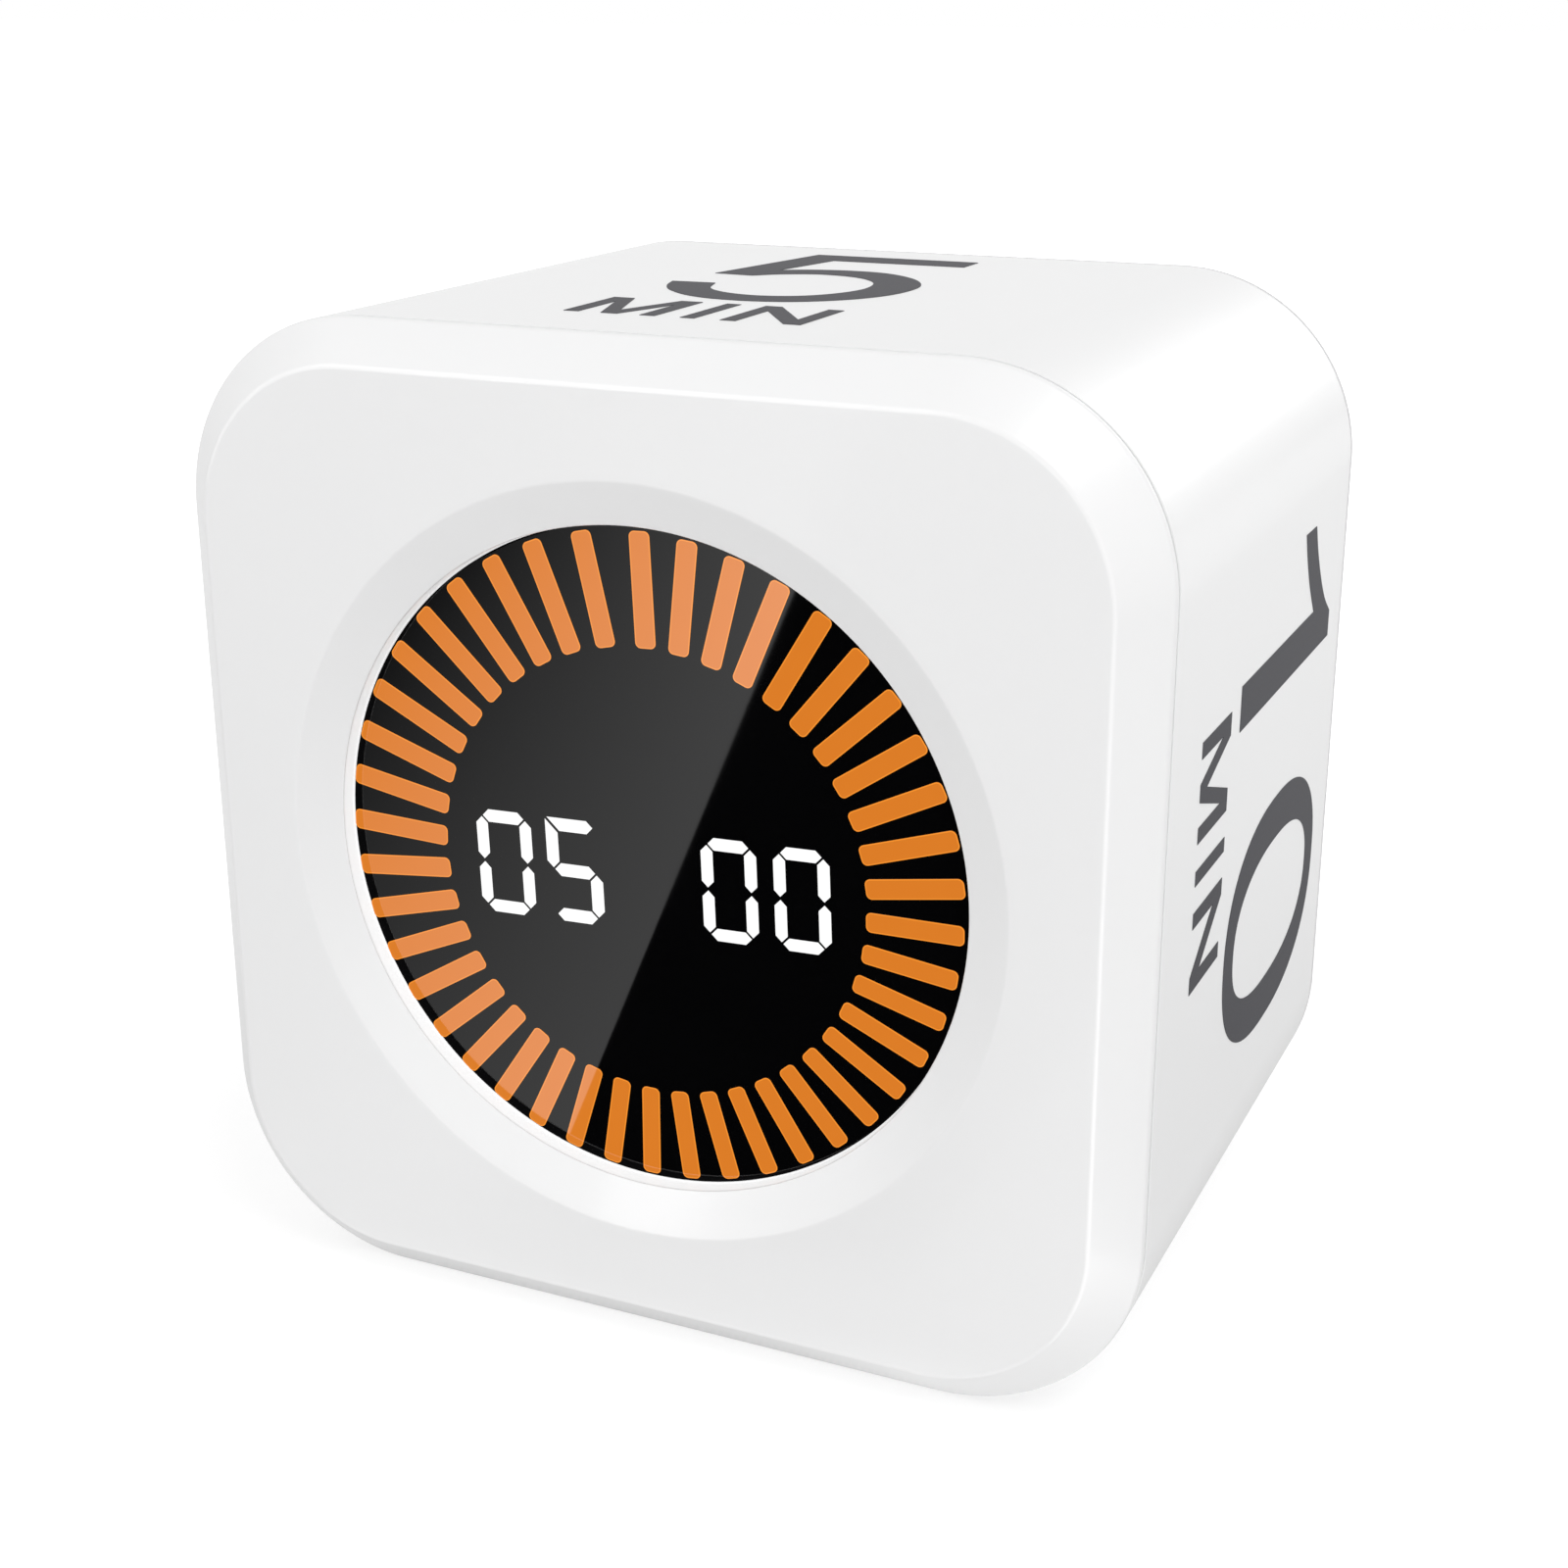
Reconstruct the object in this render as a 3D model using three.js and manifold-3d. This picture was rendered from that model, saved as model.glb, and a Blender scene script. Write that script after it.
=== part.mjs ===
// Cube timer: a rounded-square housing with a round lit dial in front and its controls behind.
// Millimetres, +Z up, front towards -Y, origin at the middle of the bottom face.
import * as THREE from 'three';
import { mergeVertices } from 'three/addons/utils/BufferGeometryUtils.js';
import Module from 'manifold-3d';

const wasm = await Module();
wasm.setup();

// Driving sizes of the housing. The chamfer's fillets end at faceInset and at seamDepth.
const housing = {
  width: 64,
  height: 64,
  depth: 49.4,
  cornerRadius: 12.6,
  faceCornerRadius: 10.5,
  chamfer: 2.6,
  edgeFillet: 0.5,
  wall: 2,
  plate: 2.2,
  rearPlate: 3,
  tongueWall: 1.4,
  tongueDepth: 7,
};

// Clearances: seam between shells, seat behind a resting piece, run beside a sliding or nested one
const fit = { seam: 0.12, seat: 0.2, run: 0.3, tongue: 0.25, overrun: 1 };

// Screws and what takes them
const screw = { shank: 0.85, head: 1.9, headHeight: 1.2, slotWidth: 0.5, slotLength: 2, slotDepth: 0.6 };
const boss = { radius: 2.6, root: 0.4, floor: 0.6, headRoom: 0.4, shankRoom: 0.35 };

// Round window in the front cover and the ring behind it that seats the lens
const windowCone = { outer: 24, inner: 21.2, depth: 1.17, edgeFillet: 0.6 };
const lensSeat = { depth: 3, lip: 1.2, lipDepth: 4.6 };
const lens = { recess: 2.31, plugGap: 0.12, flange: 24.6, flangeThickness: 1.2, plugEdge: 0.1 };
const tape = { thickness: 0.2, inset: 0.4 };
const film = { thickness: 0.2, inset: 0.6 };

// Light frame with a well for each tick and each segment of the digits
const lightFrame = { thickness: 4.4, bossPocket: 2, screwInset: 9.2 };
const tick = { count: 43, pitch: THREE.MathUtils.degToRad(8.305), first: THREE.MathUtils.degToRad(0.4) };
const tickWell = { outer: 20.9, inner: 14.3, width: 1.3, corner: 0.35 };
const digit = { width: 3.9, height: 6.7, stroke: 0.85, gap: 0.25, middle: -0.85 };
const digitPlaces = { outerLeft: -9.8, innerLeft: -4.85, innerRight: 5.7, outerRight: 10.45 };
const lamp = { width: 0.8, length: 1.6, height: 0.7, smallWidth: 0.4, smallLength: 1 };
const displayBoard = { thickness: 1.6, inset: 0.8, cornerRadius: 9 };

// Sleeve posts, chassis, battery and motor
const post = { radius: 3, inset: 8, web: 2, grip: 9 };
const snapTab = { length: 12, height: 0.55, width: 1, depth: 5.2 };
const chassis = { front: 14.8, thickness: 1.6, gap: 0.5, trayWall: 1.2, trayDepth: 8, windowGap: 1 };
const battery = { width: 40, height: 30, thickness: 10, edge: 2, middle: 5, foam: 0.5, foamInset: 3 };
const motor = { radius: 3, length: 12, left: -15, middle: -17, shaft: 0.5, weight: 2.9, weightLength: 3.4 };
const motorCradle = { wall: 1, height: 4.4, length: 8 };
const ribbon = { width: 8, thickness: 0.3, slack: 2.2, x: 10, y: -17 };
const ribbonPlug = { width: 10, height: 4.4, thickness: 1.8 };
const lead = { radius: 0.55, spacing: 2.5, x: -14 };
const leadSocket = { width: 7.5, height: 5, thickness: 3.2, y: -12.5 };

// Main board behind the controls, measured inward from the rear face
const mainBoard = { face: 8, thickness: 1.6, size: 42, corner: 3, screwInset: 3.5 };
const boardBoss = { radius: 2.2 };
const processor = { size: 7, thickness: 1, x: 6, y: 5 };
const gravitySensor = { size: 3, thickness: 0.9, x: -8, y: 8 };
const buzzer = { radius: 6, thickness: 4.6, edge: 0.5, port: 1.2, portDepth: 1, x: -13 };
const soundHole = { radius: 0.6, pitch: 2.3, count: 6 };

// Shallow control panel in the rear cover
const panel = { width: 43, height: 25, corner: 5, depth: 1, upperRow: 6, lowerRow: -6.5 };
const button = {
  place: 14,
  radius: 3.2,
  sink: 0.5,
  crown: 0.25,
  flange: 4.2,
  flangeThickness: 1,
  stem: 1.5,
  stemLength: 0.6,
};
const tactSwitch = { size: 6, height: 2.1, bore: 1.75, boreFloor: 0.3, plunger: 1.4, plungerLength: 1.9 };
const knob = {
  width: 4.4,
  height: 2.6,
  corner: 0.8,
  sink: 0.5,
  travel: 2,
  flangeLength: 13.4,
  flangeHeight: 5,
  flangeThickness: 0.9,
  gripDepth: 0.35,
  gripWidth: 0.4,
  gripPitch: 1,
};
const slideSwitch = { width: 10.4, height: 4.4, thickness: 2.9, slotWidth: 2.2, slotDepth: 1.6 };
const actuator = { width: 1.2, base: 3, baseThickness: 0.8, socketDepth: 1.2 };
const usbPort = {
  width: 8.94,
  height: 3.26,
  corner: 1.5,
  length: 6.8,
  wall: 0.3,
  tongueWidth: 6.7,
  tongueThickness: 0.7,
  tongueGap: 1,
  back: 1,
};

// Edges in a quarter turn of an outline, or in a whole turn of something round
const outerCorner = 10;
const innerCorner = 4;
const smallCorner = 1;
const windowEdges = 48;
const ringEdges = 32;
const capEdges = 20;
const pinEdges = 10;
const screwEdges = 8;

// Sizes that follow from the driving ones
const filletTangent = housing.edgeFillet * Math.tan(Math.PI / 8);
const faceInset = housing.chamfer + filletTangent;
const seamDepth = housing.chamfer + filletTangent;
const tongueInset = housing.wall + fit.tongue;
const innerInset = tongueInset + housing.tongueWall;
const seatRadius = lens.flange + fit.run;
const lensFlangeFront = lensSeat.depth + fit.seat + tape.thickness + fit.seat;
const lensBack = lensFlangeFront + lens.flangeThickness;
const filmFront = lensBack + fit.seat;
const frameFront = filmFront + film.thickness + fit.seat;
const frameBack = frameFront + lightFrame.thickness;
const displayFront = frameBack + fit.seat;
const displayBack = displayFront + displayBoard.thickness;
const ribbonPlugFront = displayBack + fit.seat;
const chassisBack = chassis.front + chassis.thickness;
const postFront = chassisBack + fit.seat;
const boardBack = mainBoard.face + mainBoard.thickness;
const boardFrontDepth = housing.depth - boardBack;
const buttonFlangeTop = housing.rearPlate + fit.seat;
const buttonStemEnd = buttonFlangeTop + button.flangeThickness + button.stemLength;
const knobFlangeEnd = buttonFlangeTop + knob.flangeThickness;

// Colours and finishes
const whitePlastic = new THREE.MeshStandardMaterial({ color: 0xf2f2f2, roughness: 0.35, metalness: 0 });
const smokedAcrylic = new THREE.MeshStandardMaterial({ color: 0x050505, roughness: 0.04, metalness: 0 });
const darkPlastic = new THREE.MeshStandardMaterial({ color: 0x1c1c1e, roughness: 0.5, metalness: 0 });
const greyPlastic = new THREE.MeshStandardMaterial({ color: 0x58585c, roughness: 0.45, metalness: 0 });
const milkyFilm = new THREE.MeshStandardMaterial({ color: 0xdd7d26, roughness: 0.4, metalness: 0 });
const boardGreen = new THREE.MeshStandardMaterial({ color: 0x1f5a34, roughness: 0.5, metalness: 0 });
const brightSteel = new THREE.MeshStandardMaterial({ color: 0xb8babd, roughness: 0.3, metalness: 1 });
const tungsten = new THREE.MeshStandardMaterial({ color: 0x8a8680, roughness: 0.35, metalness: 1 });
const foilPouch = new THREE.MeshStandardMaterial({ color: 0xa9adb3, roughness: 0.35, metalness: 0.6 });
const foam = new THREE.MeshStandardMaterial({ color: 0x3a3a3c, roughness: 0.95, metalness: 0 });
const amberFilm = new THREE.MeshStandardMaterial({ color: 0xb9772a, roughness: 0.4, metalness: 0 });
const redSleeve = new THREE.MeshStandardMaterial({ color: 0xb3261e, roughness: 0.5, metalness: 0 });
const blackSleeve = new THREE.MeshStandardMaterial({ color: 0x151515, roughness: 0.5, metalness: 0 });

// Turns a closed geometry into a solid that can be joined and cut
function solid(geometry) {
  geometry.deleteAttribute('normal');
  geometry.deleteAttribute('uv');
  const merged = mergeVertices(geometry);
  return new wasm.Manifold(new wasm.Mesh({
    numProp: 3,
    vertProperties: new Float32Array(merged.attributes.position.array),
    triVerts: new Uint32Array(merged.index.array),
  }));
}

// Gives a finished solid back as faces
function faces(body) {
  const mesh = body.getMesh();
  const geometry = new THREE.BufferGeometry();
  const positions = new Float32Array(mesh.vertProperties);
  geometry.setAttribute('position', new THREE.BufferAttribute(positions, mesh.numProp));
  geometry.setIndex(new THREE.BufferAttribute(new Uint32Array(mesh.triVerts), 1));
  return geometry;
}

// Rectangle with round corners about a middle, counterclockwise from its right-hand side
function roundedRect(width, height, radius, x = 0, y = 0) {
  const shape = new THREE.Shape();
  const dx = width / 2 - radius;
  const dy = height / 2 - radius;
  shape.absarc(x + dx, y + dy, radius, 0, Math.PI / 2);
  shape.absarc(x - dx, y + dy, radius, Math.PI / 2, Math.PI);
  shape.absarc(x - dx, y - dy, radius, Math.PI, 1.5 * Math.PI);
  shape.absarc(x + dx, y - dy, radius, 1.5 * Math.PI, 2 * Math.PI);
  return shape;
}

function rect(width, height, x = 0, y = 0) {
  return new THREE.Shape([
    new THREE.Vector2(x - width / 2, y - height / 2),
    new THREE.Vector2(x + width / 2, y - height / 2),
    new THREE.Vector2(x + width / 2, y + height / 2),
    new THREE.Vector2(x - width / 2, y + height / 2),
  ]);
}

function disc(radius, x = 0, y = 0) {
  return new THREE.Shape().absarc(x, y, radius, 0, 2 * Math.PI);
}

// Outline of the housing at an inset from its sides; the corners tighten towards the face
function housingOutline(inset) {
  const tightening = (housing.cornerRadius - housing.faceCornerRadius) / faceInset;
  const radius = housing.cornerRadius - inset * tightening;
  return roundedRect(housing.width - 2 * inset, housing.height - 2 * inset, radius);
}

// Straight extrusion between two depths behind the face, with that many edges on each arc
function slab(shape, front, back, arcEdges = innerCorner) {
  const geometry = new THREE.ExtrudeGeometry(shape, {
    depth: back - front,
    bevelEnabled: false,
    curveSegments: arcEdges / 2,
  });
  return solid(geometry.translate(0, 0, -back));
}

// Round pin or hole between two depths
function barrel(radius, front, back, x = 0, y = 0, edges = pinEdges) {
  return slab(disc(radius, x, y), front, back, edges);
}

// Body of revolution about the depth axis from [radius, depth] pairs that go from the back to the front
function turned(profile, edges) {
  const points = profile.map(([radius, depth]) => new THREE.Vector2(radius, -depth));
  return solid(new THREE.LatheGeometry(points, edges).rotateX(Math.PI / 2));
}

// Solid through rings of equal point count, front ring first
function loft(rings) {
  const positions = [];
  const index = [];
  const count = rings[0].points.length;
  for (const ring of rings) {
    for (const point of ring.points) positions.push(point.x, point.y, -ring.depth);
  }
  for (let ring = 0; ring + 1 < rings.length; ring += 1) {
    for (let i = 0; i < count; i += 1) {
      const front = ring * count;
      const back = front + count;
      const next = (i + 1) % count;
      index.push(front + i, back + i, front + next, front + next, back + i, back + next);
    }
  }
  const last = (rings.length - 1) * count;
  for (const [a, b, c] of THREE.ShapeUtils.triangulateShape(rings[0].points, [])) index.push(a, b, c);
  for (const [a, b, c] of THREE.ShapeUtils.triangulateShape(rings[last / count].points, [])) {
    index.push(last + c, last + b, last + a);
  }
  const geometry = new THREE.BufferGeometry();
  geometry.setAttribute('position', new THREE.Float32BufferAttribute(positions, 3));
  geometry.setIndex(index);
  return solid(geometry);
}

function joined(bodies) {
  return bodies.reduce((whole, body) => whole.add(body));
}

function cut(body, cutters) {
  return cutters.reduce((rest, cutter) => rest.subtract(cutter), body);
}

// The four places at one inset from the sides of a rectangle, the housing's own unless another is given
function corners(inset, width = housing.width, height = housing.height) {
  const x = width / 2 - inset;
  const y = height / 2 - inset;
  return [[x, y], [-x, y], [-x, -y], [x, -y]];
}

// Fillets of both chamfer edges as [inset, depth] pairs, from the face to the seam
function chamferProfile() {
  const steps = 2;
  const pairs = [];
  for (let i = 0; i <= steps; i += 1) {
    const turn = (Math.PI / 4) * (i / steps);
    pairs.push([faceInset - housing.edgeFillet * Math.sin(turn), housing.edgeFillet * (1 - Math.cos(turn))]);
  }
  for (let i = steps; i >= 0; i -= 1) {
    const turn = (Math.PI / 4) * (i / steps);
    pairs.push([housing.edgeFillet * (1 - Math.cos(turn)), seamDepth - housing.edgeFillet * Math.sin(turn)]);
  }
  return pairs;
}

// Chamfered plate of a cover, up to the seam
function coverBlank() {
  return loft(chamferProfile().map(([inset, depth]) => ({
    depth,
    points: housingOutline(inset).getPoints(outerCorner / 2),
  })));
}

// Wall behind a cover that slides into the sleeve
function coverTongue(front) {
  return cut(slab(housingOutline(tongueInset), front, housing.tongueDepth), [
    slab(housingOutline(innerInset), front - fit.overrun, housing.tongueDepth + fit.overrun),
  ]);
}

// Window through the front cover: softened edge, conical bezel, then a straight wall
function windowCutter() {
  const slope = Math.atan2(windowCone.depth, windowCone.outer - windowCone.inner);
  const tangent = windowCone.edgeFillet * Math.tan(slope / 2);
  const edge = [];
  for (let i = 0; i <= 2; i += 1) {
    const turn = slope * (i / 2);
    edge.push([
      windowCone.outer + tangent - windowCone.edgeFillet * Math.sin(turn),
      windowCone.edgeFillet * (1 - Math.cos(turn)),
    ]);
  }
  return turned([
    [0, lensSeat.depth + fit.overrun],
    [windowCone.inner, lensSeat.depth + fit.overrun],
    [windowCone.inner, windowCone.depth],
    ...edge.reverse(),
    [windowCone.outer + tangent, -fit.overrun],
    [0, -fit.overrun],
  ], windowEdges);
}

// Seat ring behind the window, with a lip that centres the lens
function seatRing() {
  const outer = seatRadius + lensSeat.lip;
  return turned([
    [windowCone.inner - fit.overrun, lensSeat.depth],
    [seatRadius, lensSeat.depth],
    [seatRadius, lensSeat.lipDepth],
    [outer, lensSeat.lipDepth],
    [outer, housing.plate - boss.root],
    [windowCone.inner - fit.overrun, housing.plate - boss.root],
    [windowCone.inner - fit.overrun, lensSeat.depth],
  ], ringEdges);
}

// The four snap tabs of the front tongue, or with a gap the pockets that take them
function snapTabs(gap) {
  const thickness = 2 * snapTab.height + gap;
  const x = housing.width / 2 - tongueInset + gap / 2;
  const y = housing.height / 2 - tongueInset + gap / 2;
  const length = snapTab.length + 2 * gap;
  const front = snapTab.depth - gap;
  const back = snapTab.depth + snapTab.width + gap;
  return [
    slab(rect(thickness, length, x, 0), front, back),
    slab(rect(thickness, length, -x, 0), front, back),
    slab(rect(length, thickness, 0, y), front, back),
    slab(rect(length, thickness, 0, -y), front, back),
  ];
}

const frontBossDepth = frameFront + lightFrame.bossPocket - fit.seat;

function frontCover() {
  const plate = cut(coverBlank(), [slab(housingOutline(innerInset), housing.plate, seamDepth + fit.overrun)]);
  const posts = corners(lightFrame.screwInset).map(([x, y]) => (
    barrel(boss.radius, housing.plate - boss.root, frontBossDepth, x, y)
  ));
  const pilots = corners(lightFrame.screwInset).map(([x, y]) => (
    barrel(screw.shank + fit.run, housing.plate + boss.floor, frontBossDepth + fit.overrun, x, y)
  ));
  const tongue = coverTongue(housing.plate);
  return cut(joined([plate, tongue, seatRing(), ...posts, ...snapTabs(0)]), [windowCutter(), ...pilots]);
}

// Stepped lens: a plug in the window and a flange behind the seat; its front face is at zero depth
function displayLens() {
  const plug = windowCone.inner - lens.plugGap;
  const step = lensFlangeFront - lens.recess;
  const back = lensBack - lens.recess;
  return turned([
    [0, back],
    [lens.flange, back],
    [lens.flange, step],
    [plug, step],
    [plug, lens.plugEdge],
    [plug - lens.plugEdge, 0],
    [0, 0],
  ], windowEdges);
}

function tapeRing() {
  const outer = lens.flange - tape.inset;
  const inner = windowCone.inner + tape.inset;
  return turned([
    [inner, tape.thickness],
    [outer, tape.thickness],
    [outer, 0],
    [inner, 0],
    [inner, tape.thickness],
  ], ringEdges);
}

function segmentFilm() {
  return barrel(lens.flange - film.inset, 0, film.thickness, 0, 0, ringEdges);
}

// Clockwise angle of a tick, from twelve o'clock as seen from the front
function tickAngle(index) {
  return tick.first + index * tick.pitch;
}

// Points of an outline turned clockwise and moved out along the same direction
function aroundDial(points, angle, radius) {
  const sine = Math.sin(angle);
  const cosine = Math.cos(angle);
  return points.map((point) => new THREE.Vector2(
    point.x * cosine + (point.y + radius) * sine,
    (point.y + radius) * cosine - point.x * sine,
  ));
}

function tickOutline(index) {
  const length = tickWell.outer - tickWell.inner;
  const middle = (tickWell.outer + tickWell.inner) / 2;
  const bar = roundedRect(tickWell.width, length, tickWell.corner).getPoints(smallCorner / 2);
  return aroundDial(bar, tickAngle(index), middle);
}

// The seven segments of a digit as bars with pointed ends, about the digit's middle
function segmentOutlines() {
  const column = (digit.width - digit.stroke) / 2;
  const row = (digit.height - digit.stroke) / 2;
  const bar = (length, place) => {
    const end = length / 2;
    const side = digit.stroke / 2;
    const shoulder = end - side;
    const lower = [[-end, 0], [-shoulder, -side], [shoulder, -side]];
    const upper = [[end, 0], [shoulder, side], [-shoulder, side]];
    return [...lower, ...upper].map(place);
  };
  const level = [-row, 0, row].map((rise) => bar(2 * column - digit.gap, ([x, y]) => [x, y + rise]));
  const upright = [-column, column].flatMap((side) => [-row / 2, row / 2].map((rise) => (
    bar(row - digit.gap, ([x, y]) => [side - y, rise + x])
  )));
  return [...level, ...upright];
}

function digitWells() {
  return Object.values(digitPlaces).flatMap((place) => segmentOutlines().map((outline) => (
    outline.map(([x, y]) => new THREE.Vector2(place + x, digit.middle + y))
  )));
}

function tickWells() {
  return Array.from({ length: tick.count }, (_, index) => tickOutline(index));
}

// Plate with a well for each lamp, pockets for the cover's bosses and holes for the screws
function lightWellFrame() {
  const outline = housingOutline(innerInset + fit.run);
  outline.holes = [...tickWells(), ...digitWells()].map((points) => new THREE.Path(points));
  const pockets = corners(lightFrame.screwInset).map(([x, y]) => (
    barrel(boss.radius + fit.run, -fit.overrun, lightFrame.bossPocket, x, y)
  ));
  const holes = corners(lightFrame.screwInset).map(([x, y]) => (
    barrel(screw.shank + boss.shankRoom, 0, lightFrame.thickness + fit.overrun, x, y)
  ));
  return cut(slab(outline, 0, lightFrame.thickness), [...pockets, ...holes]);
}

function middleOf(points) {
  const sum = points.reduce((total, point) => total.add(point), new THREE.Vector2());
  return sum.divideScalar(points.length);
}

// Lamps stand on the board's front, one in each well, lengthwise along the tick or segment
function lamps() {
  const tickLamps = tickWells().map((_, index) => {
    const bar = rect(lamp.width, lamp.length).getPoints();
    const middle = (tickWell.outer + tickWell.inner) / 2;
    return new THREE.Shape(aroundDial(bar, tickAngle(index), middle));
  });
  const segmentLamps = digitWells().map((points) => {
    const middle = middleOf(points);
    const size = new THREE.Box2().setFromPoints(points).getSize(new THREE.Vector2());
    const [across, along] = size.y > size.x
      ? [lamp.smallWidth, lamp.smallLength]
      : [lamp.smallLength, lamp.smallWidth];
    return rect(across, along, middle.x, middle.y);
  });
  const root = displayBoard.thickness / 2;
  return [...tickLamps, ...segmentLamps].map((shape) => slab(shape, -lamp.height, root));
}

function displayCircuitBoard() {
  const inset = innerInset + displayBoard.inset;
  const width = housing.width - 2 * inset;
  const height = housing.height - 2 * inset;
  const outline = roundedRect(width, height, displayBoard.cornerRadius);
  const holes = corners(lightFrame.screwInset).map(([x, y]) => (
    barrel(screw.shank + boss.shankRoom, -fit.overrun, displayBoard.thickness + fit.overrun, x, y)
  ));
  return cut(joined([slab(outline, 0, displayBoard.thickness), ...lamps()]), holes);
}

// Pan-head screw with a slot, or two that cross; its head faces the front, its underside is at zero depth
function panScrew(length, crossed = false) {
  const body = turned([
    [0, length],
    [screw.shank, length - screw.shank],
    [screw.shank, 0],
    [screw.head, 0],
    [screw.head - screw.slotWidth, -screw.headHeight],
    [0, -screw.headHeight],
  ], screwEdges);
  const top = -screw.headHeight - fit.overrun;
  const floor = screw.slotDepth - screw.headHeight;
  const slots = [slab(rect(screw.slotLength, screw.slotWidth), top, floor)];
  if (crossed) slots.push(slab(rect(screw.slotWidth, screw.slotLength), top, floor));
  return cut(body, slots);
}

// Sleeve between the covers, with a webbed post in each corner for the rear and chassis screws
const sleeveFront = seamDepth + fit.seam;
const sleeveBack = housing.depth - seamDepth - fit.seam;
const postBack = housing.depth - housing.tongueDepth - fit.seat;

function postWeb(x, y) {
  const reach = housing.cornerRadius - housing.wall / 2 - (housing.cornerRadius - post.inset) * Math.SQRT2;
  const geometry = new THREE.BoxGeometry(reach, post.web, postBack - postFront);
  geometry.translate(reach / 2, 0, -(postBack + postFront) / 2);
  geometry.rotateZ(Math.atan2(Math.sign(y), Math.sign(x)));
  geometry.translate(x, y, 0);
  return solid(geometry);
}

function bodySleeve() {
  const tube = cut(slab(housingOutline(0), sleeveFront, sleeveBack, outerCorner), [
    slab(housingOutline(housing.wall), sleeveFront - fit.overrun, sleeveBack + fit.overrun),
  ]);
  const posts = corners(post.inset).flatMap(([x, y]) => [
    barrel(post.radius, postFront, postBack, x, y),
    postWeb(x, y),
  ]);
  const pilots = corners(post.inset).flatMap(([x, y]) => [
    barrel(screw.shank + fit.run, postFront - fit.overrun, postFront + post.grip, x, y),
    barrel(screw.shank + fit.run, postBack - post.grip, postBack + fit.overrun, x, y),
  ]);
  return cut(joined([tube, ...posts]), [...snapTabs(fit.run), ...pilots]);
}

// Plate screwed to the posts, with the battery tray and the motor cradle behind it
const trayWidth = battery.width + 2 * fit.run;
const trayHeight = battery.height + 2 * fit.run;
const motorAxisDepth = chassisBack + fit.seat + motor.radius;

function batteryTray() {
  const outer = roundedRect(
    trayWidth + 2 * chassis.trayWall,
    trayHeight + 2 * chassis.trayWall,
    battery.edge + chassis.trayWall,
    0,
    battery.middle,
  );
  const inner = roundedRect(trayWidth, trayHeight, battery.edge, 0, battery.middle);
  const walls = slab(outer, chassisBack - chassis.thickness / 2, chassisBack + chassis.trayDepth);
  return cut(walls, [slab(inner, chassisBack, chassisBack + chassis.trayDepth + fit.overrun)]);
}

function motorCheeks() {
  const reach = motor.radius + fit.run + motorCradle.wall / 2;
  const middle = motor.left + motor.length / 2;
  return [reach, -reach].map((offset) => slab(
    rect(motorCradle.length, motorCradle.wall, middle, motor.middle + offset),
    chassisBack - chassis.thickness / 2,
    chassisBack + motorCradle.height,
  ));
}

function chassisPlate() {
  const inset = housing.wall + chassis.gap;
  const holes = corners(post.inset).map(([x, y]) => (
    barrel(screw.shank + boss.shankRoom, chassis.front - fit.overrun, chassisBack + fit.overrun, x, y)
  ));
  const windowWidth = ribbonPlug.width + 2 * chassis.windowGap;
  const windowHeight = ribbonPlug.height + 2 * chassis.windowGap;
  const windowShape = roundedRect(windowWidth, windowHeight, chassis.windowGap, ribbon.x, ribbon.y);
  const ribbonWindow = slab(windowShape, chassis.front - fit.overrun, chassisBack + fit.overrun);
  const plate = slab(housingOutline(inset), chassis.front, chassisBack);
  return cut(joined([plate, batteryTray(), ...motorCheeks()]), [...holes, ribbonWindow]);
}

const foamFront = chassisBack + fit.seat;
const batteryFront = foamFront + battery.foam + fit.seat;

function foamPad() {
  const width = battery.width - 2 * battery.foamInset;
  const height = battery.height - 2 * battery.foamInset;
  return slab(rect(width, height), 0, battery.foam);
}

// Pouch cell with a softened outline, thinner along its folded edges
function pouchCell() {
  const ring = (inset, depth) => ({
    depth,
    points: roundedRect(battery.width - 2 * inset, battery.height - 2 * inset, battery.edge)
      .getPoints(smallCorner),
  });
  return loft([
    ring(battery.edge / 2, 0),
    ring(0, battery.edge / 2),
    ring(0, battery.thickness - battery.edge / 2),
    ring(battery.edge / 2, battery.thickness),
  ]);
}

// Motor can along X; its middle is at zero
function motorCan() {
  const radius = motor.radius;
  const collar = 2 * motor.shaft;
  return solid(new THREE.LatheGeometry([
    new THREE.Vector2(0, -motor.length / 2),
    new THREE.Vector2(radius, -motor.length / 2),
    new THREE.Vector2(radius, motor.length / 2 - collar),
    new THREE.Vector2(2 * collar, motor.length / 2),
    new THREE.Vector2(0, motor.length / 2),
  ], capEdges).rotateZ(-Math.PI / 2));
}

// Half-round weight on its hub, hanging below; the axis is X and the weight's near face is at zero
function motorWeight() {
  const half = new THREE.Shape().absarc(0, 0, motor.weight, Math.PI, 2 * Math.PI);
  const hub = disc(2 * motor.shaft);
  const settings = { depth: motor.weightLength, bevelEnabled: false, curveSegments: pinEdges / 2 };
  const alongAxis = (shape) => new THREE.ExtrudeGeometry(shape, settings).rotateY(Math.PI / 2);
  return joined([half, hub].map((shape) => solid(alongAxis(shape))));
}

// Flat flexible ribbon from the display board to the main board, bowed where it has slack
const ribbonStart = ribbonPlugFront + ribbonPlug.thickness + fit.seat;
const ribbonEnd = boardFrontDepth - fit.seat - ribbonPlug.thickness - fit.seat;

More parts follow.
